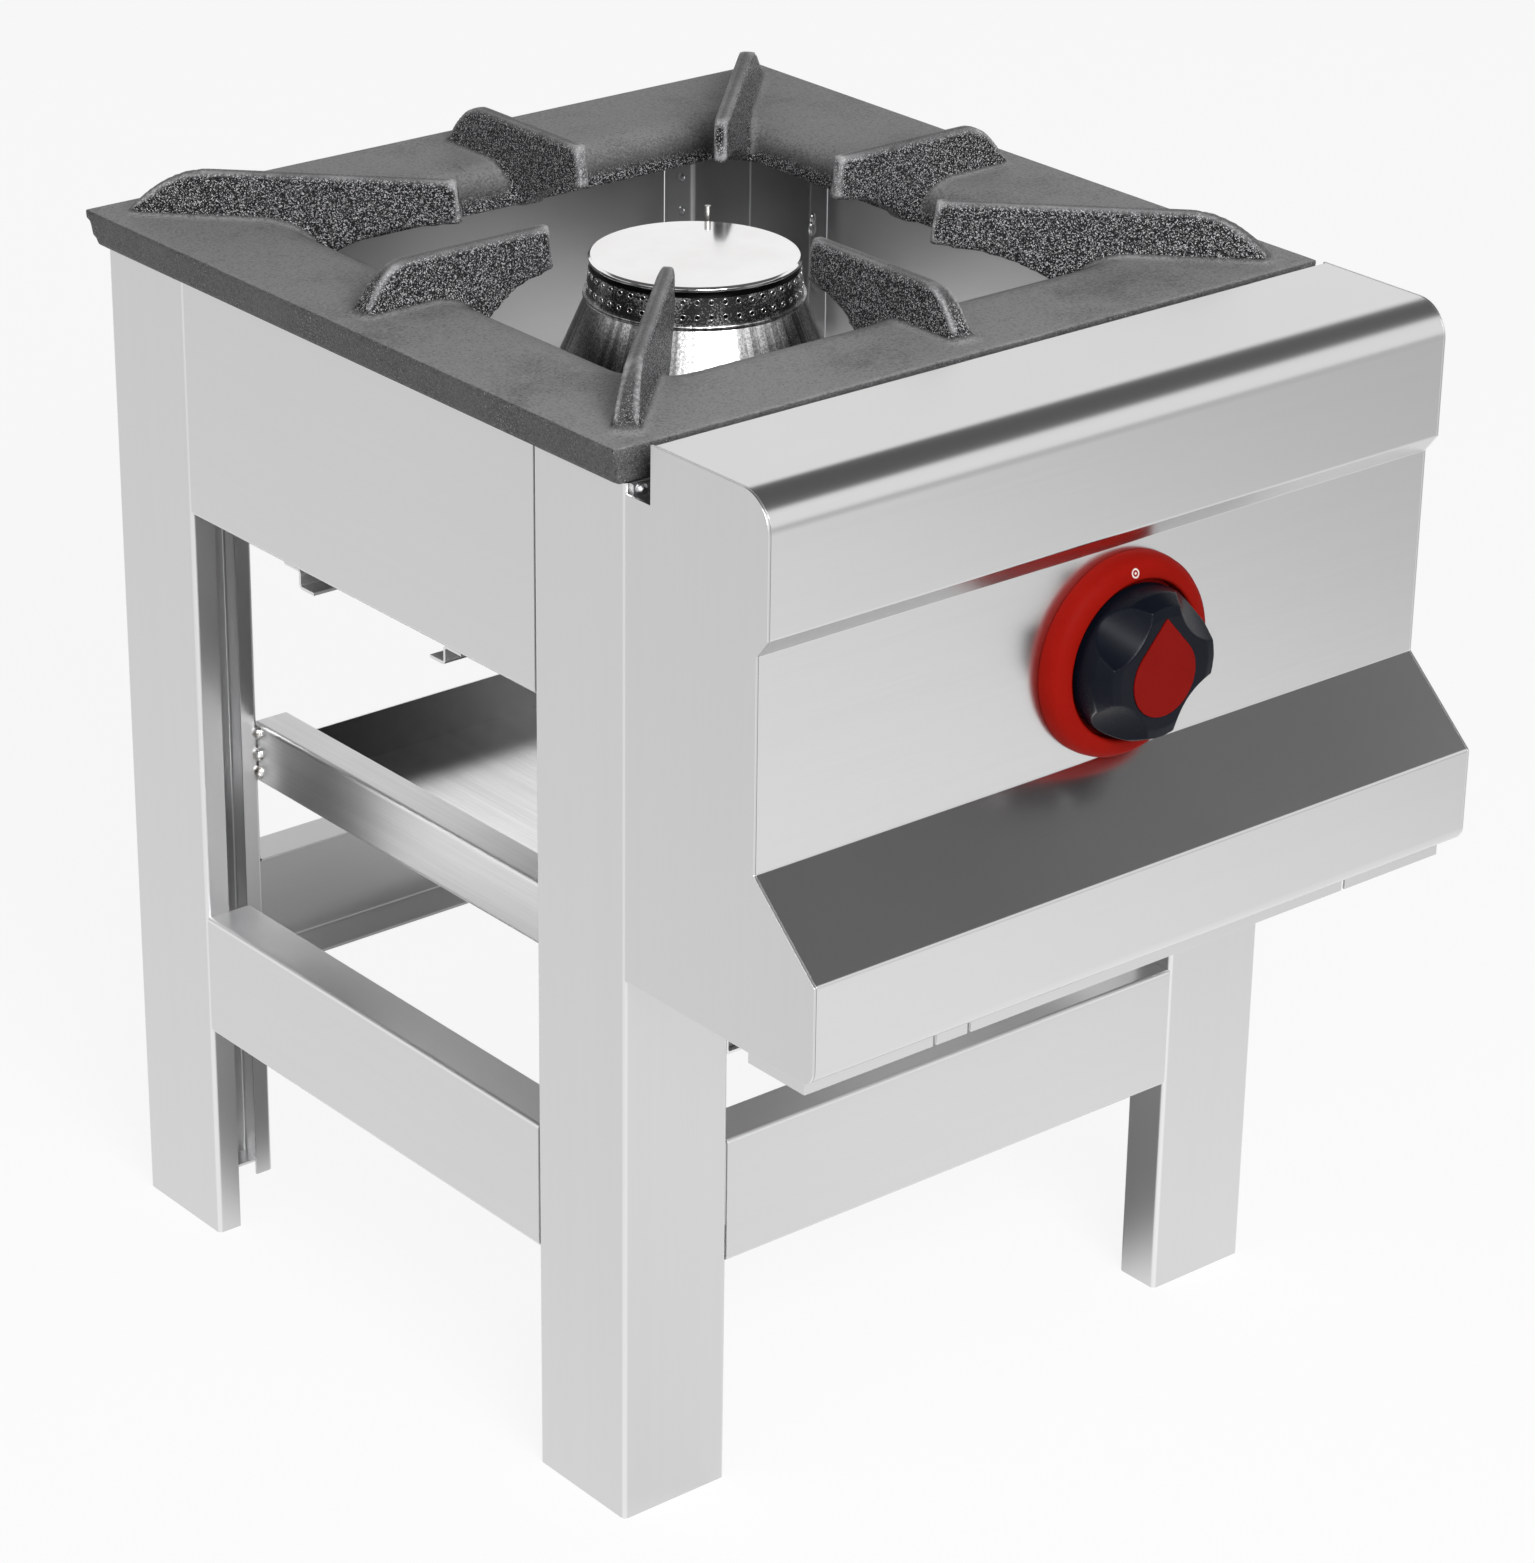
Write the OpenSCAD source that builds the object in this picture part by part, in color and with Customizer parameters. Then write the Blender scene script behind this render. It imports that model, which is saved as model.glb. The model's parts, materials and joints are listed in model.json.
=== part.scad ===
// Stock pot range: one gas burner under a cast iron pan support, carried by a
// stand of folded stainless sheet with a drip tray and a front control panel.
// Millimetres, Z up. The origin is on the floor, under the middle of the box
// around the whole range, and the control panel faces -Y.

/* [Stand] */
// Width over the side faces of the legs
stand_w = 400; // [376:2:460]
// Depth over the front and rear faces of the legs
stand_d = 404; // [390:2:460]
// Height of the legs
leg_h = 516; // [510:2:600]
// Thickness of the sheet in the stand and the panel
sheet_t = 1.5; // [1:0.1:2]
// Inside radius of the folds
fold_r = 1; // [0.6:0.1:2]
// Width of a leg's front or rear face
leg_face_w = 60; // [50:1:66]
// Width of a leg's side face
leg_side_w = 65; // [50:1:75]
// Depth of the return on a leg's front or rear face
leg_return = 25; // [18:1:30]
// Depth of the return on a leg's side face
leg_side_return = 13; // [8:1:20]
// Width of the lip that ends the front or rear return
leg_lip = 10; // [7:1:14]
// Width of the fold under a foot
foot_fold = 12; // [6:1:16]
// Height of the lower edge of the stretchers
stretcher_z = 117; // [90:1:140]
// Height of a stretcher
stretcher_h = 64; // [40:1:76]
// Width of the flanges of a stretcher
stretcher_flange = 25; // [12:1:30]
// Height of the aprons
apron_h = 119; // [115:1:126]
// Width of the flanges of an apron
apron_flange = 15; // [10:1:18]

/* [Tray] */
// Height of the lower edge of the tray runners
runner_z = 224; // [210:1:228]
// Height of a runner
runner_h = 33; // [31:1:36]
// Width of the flanges of a runner
runner_flange = 20; // [14:1:24]
// Thickness of the tray's sheet
tray_t = 1; // [0.8:0.1:1.2]
// Height of the tray's walls
tray_wall_h = 26; // [18:1:26]
// Play between the tray and its runners
tray_play = 0.6; // [0.4:0.1:1]
// Depth of the grip at the front of the tray
grip_depth = 14; // [8:1:20]
// Height of the grip's turned down edge
grip_drop = 9; // [6:1:12]
// Distance from the rear faces of the legs to the rear wall of the tray
tray_rear_gap = 38; // [30:1:60]

/* [Control panel] */
// Height of the panel's top above the pan support
panel_rise = 4.5; // [2:0.5:7]
// Gap between the pan support and the panel's top
panel_gap = 12; // [9:0.5:15]
// Height of the turned down rear edge of the top
panel_hem = 27; // [24:1:32]
// Distance of the visor face in front of the legs
visor_y = 95; // [90:1:100]
// Height of the visor face
visor_h = 63.5; // [55:0.5:68]
// Radius of the bend above the visor
visor_bend_r = 17; // [10:1:24]
// Distance of the knob plane in front of the legs
knob_plane_y = 88; // [82:1:89]
// Height of the slanted step below the visor
step_h = 9; // [6:1:12]
// Height of the knob plane
knob_plane_h = 100; // [98:1:106]
// Height of the slope below the knob plane
slope_h = 37; // [28:1:44]
// Distance of the lower lip in front of the legs
lip_y = 129; // [127:1:140]
// Height of the lower lip
lip_h = 48; // [36:1:54]
// Radius of the bend under the lip
lip_bend_r = 8; // [5:1:12]
// Depth of the down flange of the bottom cover
cover_drop = 9; // [5:1:10]

/* [Pan support] */
// Overhang of the pan support past the sides of the legs
pan_over_side = 9; // [4:0.5:14]
// Overhang past the front of the legs
pan_over_front = 5; // [2:0.5:8]
// Overhang past the rear of the legs
pan_over_rear = 6; // [2:0.5:10]
// Height of the pan support without its fins
pan_h = 18; // [15:0.5:22]
// Inward taper of its outer edge
pan_draft = 4; // [1:0.5:6]
// Wall of the casting
pan_wall = 6; // [5:0.5:7]
// Half width of the opening where its rolled edge starts
roll_half = 157; // [150:1:164]
// Radius of the rolled edge
roll_r = 30; // [27:1:34]
// Plan radius of the rolled edge's corners
roll_corner_r = 40; // [36:1:50]
// Height of the fins above the band
fin_h = 22; // [16:1:30]
// Width of a fin at its foot
fin_foot_w = 16; // [13:1:20]
// Width of a fin under its ridge
fin_ridge_w = 8; // [6:0.5:10]
// Width of a fin's tip
fin_tip_w = 6; // [4:0.5:6]
// Distance of a middle fin's tip from the burner's axis
mid_fin_reach = 85; // [70:1:100]
// Distance of a corner fin's tip from the burner's axis
corner_fin_reach = 111; // [90:1:130]

/* [Burner] */
// Radius of the cap
cap_r = 51; // [50:0.5:52]
// Depth of the cap's top below the band of the pan support
cap_drop = 9.5; // [4:0.5:14]
// Thickness of the cap
cap_t = 3.2; // [2.5:0.1:5]
// Height of the flame ring
ring_h = 15; // [13:0.5:18]
// Outer radius of the flame ring at its foot
ring_r = 52; // [51:0.5:54]
// Radius of a port
port_r = 1.1; // [0.7:0.1:1.5]
// Number of ports in a row
port_count = 48; // [24:1:60]
// Outer radius of the cone at its foot
cone_foot_r = 84; // [76:1:90]
// Thickness of the cone's sheet
cone_t = 1.2; // [0.8:0.1:1.6]
// Outer radius of the mixing tube
venturi_r = 14.5; // [12:0.5:16]
// Length of the mixing tube from the burner's axis
venturi_len = 127; // [110:1:132]
// Height of the burner rails below the aprons
rail_drop = 10; // [8:1:14]
// Width of the rail flanges
rail_flange = 12; // [11:1:14]
// Radius of the flame probe
probe_r = 1.6; // [1.2:0.1:2]
// Height of the probe's end above the cap
probe_rise = 6; // [2:1:10]

/* [Knob and valve] */
// Sideways place of the knob's axis
knob_x = 8; // [-20:1:20]
// Height of the knob's axis above the lower edge of the knob plane
knob_up = 48.5; // [48:0.5:50]
// Outer radius of the bezel
bezel_r = 48; // [44:0.5:48]
// Height of the bezel's crown
bezel_h = 11.5; // [9:0.5:13]
// Radius of the knob
knob_r = 35.5; // [32:0.5:36]
// Height of the knob's face above the knob plane
knob_h = 30; // [27:1:36]
// Travel of the knob when it is pushed
push_travel = 4; // [2:0.5:4]
// Radius of the knob's flutes
flute_r = 38; // [30:1:46]
// Distance of the flutes from the axis at the knob's face
flute_hub = 22; // [21.5:0.5:24]
// Radius of the round end of the pointer inlay
insert_r = 18.5; // [16:0.5:19]
// Distance of the pointer's tip from the middle of its round end
insert_tip = 28; // [24:0.5:29]
// Radius of the stem
stem_r = 4; // [3.5:0.1:4.5]
// Radius of the valve body
valve_r = 13; // [12.5:0.5:16]

/* [Gas inlet] */
// Outer radius of the supply pipe
supply_r = 10.65; // [8:0.05:10.8]
// Radius over the thread of the inlet
inlet_r = 10.48; // [8:0.02:13]
// Length of the inlet's thread
inlet_len = 16; // [12:1:22]
// Sideways distance of the inlet from the burner's axis
inlet_x = 120; // [112:1:120]

/* [Hidden] */
$fn = 96;

// Overrun of every cut past the face that it opens
over = 1;
// Gap between pieces that lift or slide apart
seat_gap = 0.3;
// Radial play of a running fit
running = 0.05;
// Radial play of a screw in its hole
screw_play = 0.3;
// Play between pieces that are only set beside each other
beside = 0.15;

steel = [0.80, 0.80, 0.80];
inner_steel = [0.66, 0.66, 0.67];
polished = [0.88, 0.88, 0.89];
iron = [0.30, 0.30, 0.30];
brass = [0.76, 0.62, 0.34];
zinc = [0.70, 0.71, 0.72];
bezel_red = [0.52, 0.10, 0.07];
knob_black = [0.06, 0.08, 0.09];
copper = [0.70, 0.42, 0.28];

half_w = stand_w / 2;
apron_z = leg_h - apron_h;
pan_low = leg_h + seat_gap;
pan_top = pan_low + pan_h;
pan_half_x = half_w + pan_over_side;
pan_half_y = (stand_d + pan_over_front + pan_over_rear) / 2;
burner_y = (stand_d + pan_over_rear - pan_over_front) / 2;

panel_top = pan_top + panel_rise;
panel_back = pan_over_front + panel_gap;
visor_low = panel_top - visor_h;
knob_plane_top = visor_low - step_h;
knob_plane_low = knob_plane_top - knob_plane_h;
lip_top = knob_plane_low - slope_h;
panel_low = lip_top - lip_h;
knob_z = knob_plane_low + knob_up;

front_y = -lip_y;
inlet_hex_t = 7;
rear_y = stand_d + max(pan_over_rear, inlet_hex_t + inlet_len);
mid_y = (front_y + rear_y) / 2;

// Lengths of the valve's parts along the knob's axis, from the panel's face
bonnet_t = 5;
bonnet_back = -sheet_t - bonnet_t;
valve_len = 40;
valve_back = bonnet_back - valve_len;
outlet_len = 8;
outlet_y = outlet_len - valve_back - knob_plane_y;
lead_share = 0.77;
lead_y = -lead_share * valve_back - knob_plane_y;

// Sets a piece from the stand's own frame, with Y = 0 on the front faces of
// the legs, into the frame of the whole range.
module placed() translate([0, -mid_y, 0]) children();

function unit(v) = v / norm(v);
function left_of(v) = [-v[1], v[0]];
function turn(a, b) = atan2(a[0] * b[1] - a[1] * b[0], a * b);
function bend_of(radii, i) = is_list(radii) ? radii[i] : radii;

function rotated(v, a) = [v[0] * cos(a) - v[1] * sin(a), v[0] * sin(a) + v[1] * cos(a)];

radian = 180 / PI;
bend_step = 15;
bend_chord = 1.5;
// Points along one side of a folded sheet, at an offset to the left of its path
function sheet_side(path, t, radii, off) = let (last = len(path) - 1) [
  path[0] + left_of(unit(path[1] - path[0])) * off,
  for (i = [1:last - 1])
    let (u = unit(path[i] - path[i - 1]), a = turn(u, path[i + 1] - path[i]),
         side = a > 0 ? 1 : -1, r = bend_of(radii, i - 1) + (a > 0 ? t : 0),
         centre = path[i] - u * r * tan(abs(a) / 2) + left_of(u) * side * r,
         steps = max(ceil(abs(a) / bend_step), ceil(r * abs(a) / (bend_chord * radian))))
    for (k = [0:steps])
      centre + rotated(-side * left_of(u), k * a / steps) * (r - side * off),
  path[last] + left_of(unit(path[last] - path[last - 1])) * off
];
function reversed(list) = [for (i = [len(list) - 1:-1:0]) list[i]];

// Section of a folded sheet. The path runs along the sheet's outer face, the
// thickness lies on its left and each corner has its inside radius.
module folded(path, t, radii)
  polygon(concat(sheet_side(path, t, radii, 0), reversed(sheet_side(path, t, radii, t))));

// Extrudes a (Y, Z) section along X, or an (X, Z) section along Y
module along_x(a, b) translate([a, 0, 0]) rotate([90, 0, 90]) linear_extrude(b - a) children();
module along_y(a, b) translate([0, b, 0]) rotate([90, 0, 0]) linear_extrude(b - a) children();

// Mirrors a piece of the left side or the front to the other side
module to_right() mirror([1, 0, 0]) children();
module to_rear() translate([0, stand_d, 0]) mirror([0, 1, 0]) children();

// Section of a C channel with its web on zero and its flanges inward
module channel_section(low, high, low_flange, high_flange)
  folded([[high_flange, high], [0, high], [0, low], [low_flange, low]], sheet_t, fold_r);

// Centre line through a path's points, with a bend at each inner point
rod_step = 15;
function rod_line(path, bend_r) = let (last = len(path) - 1) [
  path[0],
  for (i = [1:last - 1])
    let (u = unit(path[i] - path[i - 1]), v = unit(path[i + 1] - path[i]),
         a = acos(u * v), inward = unit(v - (v * u) * u),
         centre = path[i] - u * bend_r * tan(a / 2) + inward * bend_r,
         steps = ceil(a / rod_step))
    for (k = [0:steps])
      centre + bend_r * (u * sin(k * a / steps) - inward * cos(k * a / steps)),
  path[last]
];

// Round rod swept along a bent path
module rod(path, r, bend_r, sides = 12) {
  line = rod_line(path, bend_r);
  last = len(line) - 1;
  along = [for (i = [0:last]) unit(line[min(i + 1, last)] - line[max(i - 1, 0)])];
  first = unit(cross(along[0], [along[0][1], along[0][2], along[0][0]]));
  across = [for (i = 0, n = first; i <= last; i = i + 1,
                 n = i <= last ? unit(n - (n * along[i]) * along[i]) : n) n];
  points = [for (i = [0:last], j = [0:sides - 1])
    line[i] + r * (across[i] * cos(360 * j / sides)
                   + cross(along[i], across[i]) * sin(360 * j / sides))];
  walls = [for (i = [0:last - 1], j = [0:sides - 1])
    let (k = (j + 1) % sides, a = i * sides, b = a + sides)
    each [[a + j, b + k, a + k], [a + j, b + j, b + k]]];
  ends = [[for (j = [0:sides - 1]) j], [for (j = [sides - 1:-1:0]) last * sides + j]];
  polyhedron(points, concat(walls, ends), convexity = 10);
}

// Legs, aprons and stretchers

module leg() {
  linear_extrude(leg_h)
    folded([[leg_side_return - half_w, leg_side_w], [-half_w, leg_side_w], [-half_w, 0],
            [leg_face_w - half_w, 0], [leg_face_w - half_w, leg_return],
            [leg_face_w - half_w - leg_lip, leg_return]], sheet_t, fold_r);
  translate([sheet_t / 2 - half_w, sheet_t / 2, 0]) {
    cube([leg_face_w - sheet_t, foot_fold, sheet_t]);
    cube([foot_fold, leg_side_w - sheet_t, sheet_t]);
  }
}
module front_leg() difference() {
  leg();
  panel_screw_hole();
}
module leg_front_left() color(steel) placed() front_leg();
module leg_front_right() color(steel) placed() to_right() front_leg();
module leg_rear_left() color(steel) placed() to_rear() leg();
module leg_rear_right() color(steel) placed() to_rear() to_right() leg();

side_a = leg_side_w;
side_b = stand_d - leg_side_w;
face_b = half_w - leg_face_w;

module side_apron()
  along_y(side_a, side_b)
    translate([-half_w, 0])
      channel_section(apron_z, leg_h, apron_flange, apron_flange);
module cross_apron()
  along_x(-face_b, face_b)
    channel_section(apron_z, leg_h, apron_flange, apron_flange);
module apron_left() color(steel) placed() side_apron();
module apron_right() color(steel) placed() to_right() side_apron();
module apron_rear() color(steel) placed() difference() {
  to_rear() cross_apron();
  translate([-inlet_x, stand_d + over, knob_z])
    rotate([90, 0, 0])
      cylinder(r = supply_r + screw_play, h = sheet_t + 2 * over);
}
// The hidden rail behind the panel, with holes for the two pipes and the probe
pipe_hole_play = 3;
module front_rail() color(inner_steel) placed() difference() {
  cross_apron();
  // The middle hole also lets a pipe nut pass between its two places
  for (hole = [[-inlet_x, knob_z, supply_r + pipe_hole_play],
               [knob_x / 2, (knob_z + venturi_z) / 2, pipe_nut_r + abs(knob_x) / 2 + over],
               [lead_x, lead_z, probe_r + pipe_hole_play]])
    translate([hole[0], sheet_t + over, hole[1]])
      rotate([90, 0, 0])
        cylinder(r = hole[2], h = sheet_t + 2 * over);
}

stretcher_top = stretcher_z + stretcher_h;
module side_stretcher()
  along_y(side_a, side_b)
    translate([-half_w, 0])
      channel_section(stretcher_z, stretcher_top, stretcher_flange, stretcher_flange);
module cross_stretcher()
  along_x(-face_b, face_b)
    channel_section(stretcher_z, stretcher_top, stretcher_flange, stretcher_flange);
module stretcher_left() color(steel) placed() side_stretcher();
module stretcher_right() color(steel) placed() to_right() side_stretcher();
module stretcher_front() color(steel) placed() cross_stretcher();
module stretcher_rear() color(steel) placed() to_rear() cross_stretcher();

// Runners and drip tray

// Length that a runner laps onto the rear leg's return
runner_lap = 4;
runner_front = 2;
runner_rear = stand_d - leg_return + runner_lap;
runner_top = runner_z + runner_h;
module tray_runner()
  along_y(runner_front, runner_rear)
    translate([-face_b, 0])
      channel_section(runner_z, runner_top, runner_flange, runner_flange);
module tray_runner_left() color(inner_steel) placed() tray_runner();
module tray_runner_right() color(inner_steel) placed() to_right() tray_runner();

// Weld spots in the corner between a runner and the lip of the rear leg
weld_r = 3.8;
weld_shares = [0.2, 0.5, 0.86];
module weld_spots() {
  weld_y = stand_d - leg_return;
  for (share = weld_shares)
    translate([-face_b, weld_y, runner_z + share * runner_h])
      intersection() {
        sphere(r = weld_r, $fn = 24);
        translate([-2 * weld_r, -2 * weld_r, -weld_r])
          cube([2 * weld_r, 2 * weld_r, 2 * weld_r]);
      }
}
module runner_welds() color(inner_steel) placed() {
  weld_spots();
  to_right() weld_spots();
}

tray_z = runner_z + sheet_t + seat_gap;
tray_half = face_b - sheet_t - tray_play;
tray_rear = stand_d - tray_rear_gap;
tray_front = 5;
tray_wall_z = tray_z + tray_wall_h;
module drip_tray() color(inner_steel) placed() {
  along_y(tray_front, tray_rear)
    folded([[-tray_half, tray_wall_z], [-tray_half, tray_z], [tray_half, tray_z],
            [tray_half, tray_wall_z]], tray_t, fold_r);
  along_x(-tray_half + tray_t / 2, tray_half - tray_t / 2) {
    translate([tray_rear - tray_t, tray_z + tray_t / 2])
      square([tray_t, tray_wall_h - tray_t / 2]);
    folded([[tray_front + tray_t, tray_z + tray_t / 2],
            [tray_front + tray_t, tray_wall_z], [tray_front - grip_depth, tray_wall_z],
            [tray_front - grip_depth, tray_wall_z - grip_drop]], tray_t, fold_r);
  }
}

// Control panel

// Panel outline in (Y, Z), from the turned down rear edge round to the
// underside, with the inside radius of each bend
panel_path = [
  [-panel_back, panel_top - panel_hem], [-panel_back, panel_top],
  [-visor_y, panel_top], [-visor_y, visor_low], [-knob_plane_y, knob_plane_top],
  [-knob_plane_y, knob_plane_low], [-lip_y, lip_top], [-lip_y, panel_low],
  [0, panel_low]
];
panel_bends = [fold_r, visor_bend_r - sheet_t, fold_r, fold_r, fold_r, fold_r,
               lip_bend_r - sheet_t];
panel_half = half_w - sheet_t;
stem_hole_r = 5.5;
module control_panel() color(steel) placed() difference() {
  along_x(-panel_half, panel_half) folded(panel_path, sheet_t, panel_bends);
  on_panel() {
    translate([0, 0, -sheet_t - over])
      cylinder(r = stem_hole_r, h = sheet_t + 2 * over);
    valve_screw_places()
      translate([0, 0, -sheet_t - over])
        cylinder(r = valve_screw_r + screw_play, h = sheet_t + 2 * over);
  }
}
// Side plate of the panel: its outline, cut back at the top for the corner of
// the pan support
module panel_cheek_outline() {
  polygon([
    [0, panel_low], [0, panel_top - panel_hem], [-panel_back, panel_top - panel_hem],
    [-panel_back, panel_top], [visor_bend_r - visor_y, panel_top],
    [-visor_y, panel_top - visor_bend_r], [-visor_y, visor_low],
    [-knob_plane_y, knob_plane_top], [-knob_plane_y, knob_plane_low],
    [-lip_y, lip_top], [-lip_y, panel_low + lip_bend_r],
    [lip_bend_r - lip_y, panel_low]
  ]);
  translate([visor_bend_r - visor_y, panel_top - visor_bend_r]) circle(r = visor_bend_r);
  translate([lip_bend_r - lip_y, panel_low + lip_bend_r]) circle(r = lip_bend_r);
}
module panel_cheek() along_x(-half_w, -panel_half) panel_cheek_outline();
module panel_cheek_left() color(steel) placed() panel_cheek();
module panel_cheek_right() color(steel) placed() to_right() panel_cheek();

// Bottom cover: a flat plate under the panel with a down flange on three
// sides and narrow relief slots in its front flange
cover_inset = 5;
cover_front_gap = 11;
cover_side_len = 38;
cover_back_gap = 4;
slot_w = 2;
slot_x_shares = [-0.605, -0.505, 0.66];
module panel_bottom_cover() color(steel) placed() {
  half = half_w - cover_inset;
  front = cover_front_gap - lip_y;
  plate_top = panel_low;
  flange_low = plate_top - cover_drop;
  translate([-half, front, plate_top - sheet_t])
    cube([2 * half, -front - cover_back_gap, sheet_t]);
  difference() {
    translate([-half, front, flange_low]) cube([2 * half, sheet_t, cover_drop]);
    for (share = slot_x_shares)
      translate([share * half_w - slot_w / 2, front - over, flange_low - over])
        cube([slot_w, sheet_t + 2 * over, cover_drop - sheet_t + over]);
  }
  for (x = [-half, half - sheet_t])
    translate([x, front, flange_low]) cube([sheet_t, cover_side_len, cover_drop]);
}

// Hangers welded behind the panel's rear edge. Each turns up in front of a
// leg, and a screw beside the cheek's notch holds it there.
hanger_w = 22;
hanger_t = 2;
hanger_inset = 3;
hanger_shelf = 14;
hanger_lap = 16;
panel_screw_r = 2;
screw_head_r = 3.2;
screw_head_t = 2.2;
screw_head_side = 0.8;
panel_screw_inset = 7.5;
panel_screw_reach = 3.5;
screw_end_r = 1.5;
hanger_z = panel_top - panel_hem - hanger_shelf;
panel_screw_z = leg_h - seat_gap - screw_head_r;
module hanger() difference() {
  along_x(-half_w + hanger_inset, -half_w + hanger_inset + hanger_w)
    folded([[-panel_back, panel_top - panel_hem + hanger_lap], [-panel_back, hanger_z],
            [0, hanger_z], [0, leg_h - seat_gap]], hanger_t, fold_r);
  panel_screw_hole();
}
// Frame of a panel screw: zero on the hanger's front side, positive forward
module panel_screw_place()
  translate([panel_screw_inset - half_w, -hanger_t, panel_screw_z])
    rotate([90, 0, 0])
      children();
module panel_screw_hole()
  panel_screw_place()
    translate([0, 0, -hanger_t - sheet_t - over])
      cylinder(r = panel_screw_r + beside, h = sheet_t + hanger_t + 2 * over, $fn = 32);
module panel_hangers() color(inner_steel) placed() {
  hanger();
  to_right() hanger();
}
module panel_screw()
  panel_screw_place()
    rotate_extrude($fn = 32)
      polygon([[0, -hanger_t - panel_screw_reach], [screw_end_r, -hanger_t - panel_screw_reach],
               [panel_screw_r, screw_end_r - panel_screw_r - hanger_t - sheet_t],
               [panel_screw_r, 0], [screw_head_r, 0], [screw_head_r, screw_head_side],
               [screw_head_r / 2, screw_head_t], [0, screw_head_t]]);
module panel_screws() color(zinc) placed() {
  panel_screw();
  to_right() panel_screw();
}

// Burner rails and burner

rail_z = apron_z - rail_drop;
rail_front_reach = 68;
rail_rear_reach = 48.5;
rail_end_gap = 2;
module rail_section(face_y)
  folded([[face_y - rail_flange, apron_z - sheet_t], [face_y, apron_z - sheet_t],
          [face_y, rail_z], [face_y + rail_flange, rail_z]], sheet_t, fold_r);
module burner_rail(face_y)
  along_x(rail_end_gap - half_w, half_w - rail_end_gap) rail_section(face_y);
module burner_rail_front() color(inner_steel) placed() difference() {
  burner_rail(burner_y - rail_front_reach);
  base_screw_places(true) screw_hole();
}
module burner_rail_rear() color(inner_steel) placed() difference() {
  translate([0, 2 * burner_y, 0])
    mirror([0, 1, 0])
      burner_rail(burner_y - rail_rear_reach);
  base_screw_places(false) screw_hole();
}

base_z = rail_z + sheet_t;
// Radius of the foot of the base, and the gap under its bowl
base_foot_r = 46;
bowl_gap = 2.5;
bowl_z = apron_z + bowl_gap;
bowl_h = 30.5;
bowl_turn_r = 64;
bowl_turn_h = 4.5;
bowl_rim_h = 6;
deck_z = bowl_z + bowl_h;
deck_rim = 2;
deck_r = cone_foot_r + deck_rim;
riser_in = 6;
riser_r = ring_r - riser_in;
riser_wall = 3.5;
cast_wall = 6;
venturi_z = bowl_z + venturi_r;
venturi_wall = 3.5;
venturi_bore = venturi_r - venturi_wall;
bell_flare = 6;
bell_r = venturi_r + bell_flare;
bell_len = 18;
venturi_mouth = burner_y - venturi_len;
cap_top = pan_top - cap_drop;
ring_top = cap_top - cap_t - seat_gap;
ring_z = ring_top - ring_h;
lug_w = 40;
lug_t = 8;
base_screw_r = 3;
base_screw_head_t = 4;
base_screw_len = 7;
screw_hex_r = 5;
lug_gap = 1;
front_screw_in = 7;
rear_screw_in = 7.5;

// The fixing screws: two through the front lug and one under the foot
module base_screw_places(front) {
  if (front)
    for (x = [-lug_w / 4, lug_w / 4])
      translate([x, burner_y - rail_front_reach + front_screw_in, rail_z]) children();
  else
    translate([0, burner_y + rail_rear_reach - rear_screw_in, rail_z]) children();
}
module screw_hole()
  translate([0, 0, -over]) cylinder(r = base_screw_r + screw_play, h = sheet_t + 2 * over);

module burner_base() color(iron) placed() difference() {
  union() {
    translate([0, burner_y, 0])
      rotate_extrude()
        polygon([[0, base_z], [base_foot_r, base_z], [base_foot_r, bowl_z],
                 [bowl_turn_r, bowl_z + bowl_turn_h], [deck_r, deck_z - bowl_rim_h],
                 [deck_r, deck_z], [riser_r, deck_z], [riser_r, ring_z],
                 [0, ring_z]]);
    // Front lug on the rail, with the mixing tube and its bell above it
    translate([-lug_w / 2, burner_y - rail_front_reach + sheet_t + lug_gap, base_z])
      cube([lug_w, rail_front_reach - base_foot_r / 2, lug_t]);
    translate([0, venturi_mouth, venturi_z]) rotate([-90, 0, 0]) {
      cylinder(r = venturi_r, h = venturi_len);
      bell(bell_r, venturi_r);
    }
    injector_yoke();
  }
  // Mixing chamber, riser and tube bores
  translate([0, burner_y, 0])
    rotate_extrude()
      polygon([[0, bowl_z], [base_foot_r - cast_wall, bowl_z],
               [bowl_turn_r - riser_wall, bowl_z + 2 * bowl_turn_h],
               [deck_r - cast_wall, deck_z - bowl_rim_h], [deck_r - cast_wall, deck_z - riser_wall],
               [riser_r - riser_wall, deck_z - riser_wall],
               [riser_r - riser_wall, ring_z + over], [0, ring_z + over]]);
  translate([0, venturi_mouth, venturi_z]) rotate([-90, 0, 0]) {
    translate([0, 0, -over]) cylinder(r = venturi_bore, h = venturi_len - riser_r + over);
    bell(bell_r - venturi_wall, venturi_bore, over);
  }
  for (front = [true, false])
    base_screw_places(front)
      translate([0, 0, sheet_t - over])
        cylinder(r = base_screw_r + beside, h = base_screw_len + over);
}
// Trumpet mouth of the mixing tube, as a revolve with a rounded throat
module bell(mouth_r, throat_r, ahead = 0)
  translate([0, 0, -ahead])
    rotate_extrude()
      polygon([[0, 0], [mouth_r, 0], [mouth_r, ahead + bell_len / 6],
               [(mouth_r + 2 * throat_r) / 3, ahead + bell_len / 2],
               [throat_r, ahead + bell_len], [0, ahead + bell_len]]);

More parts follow.
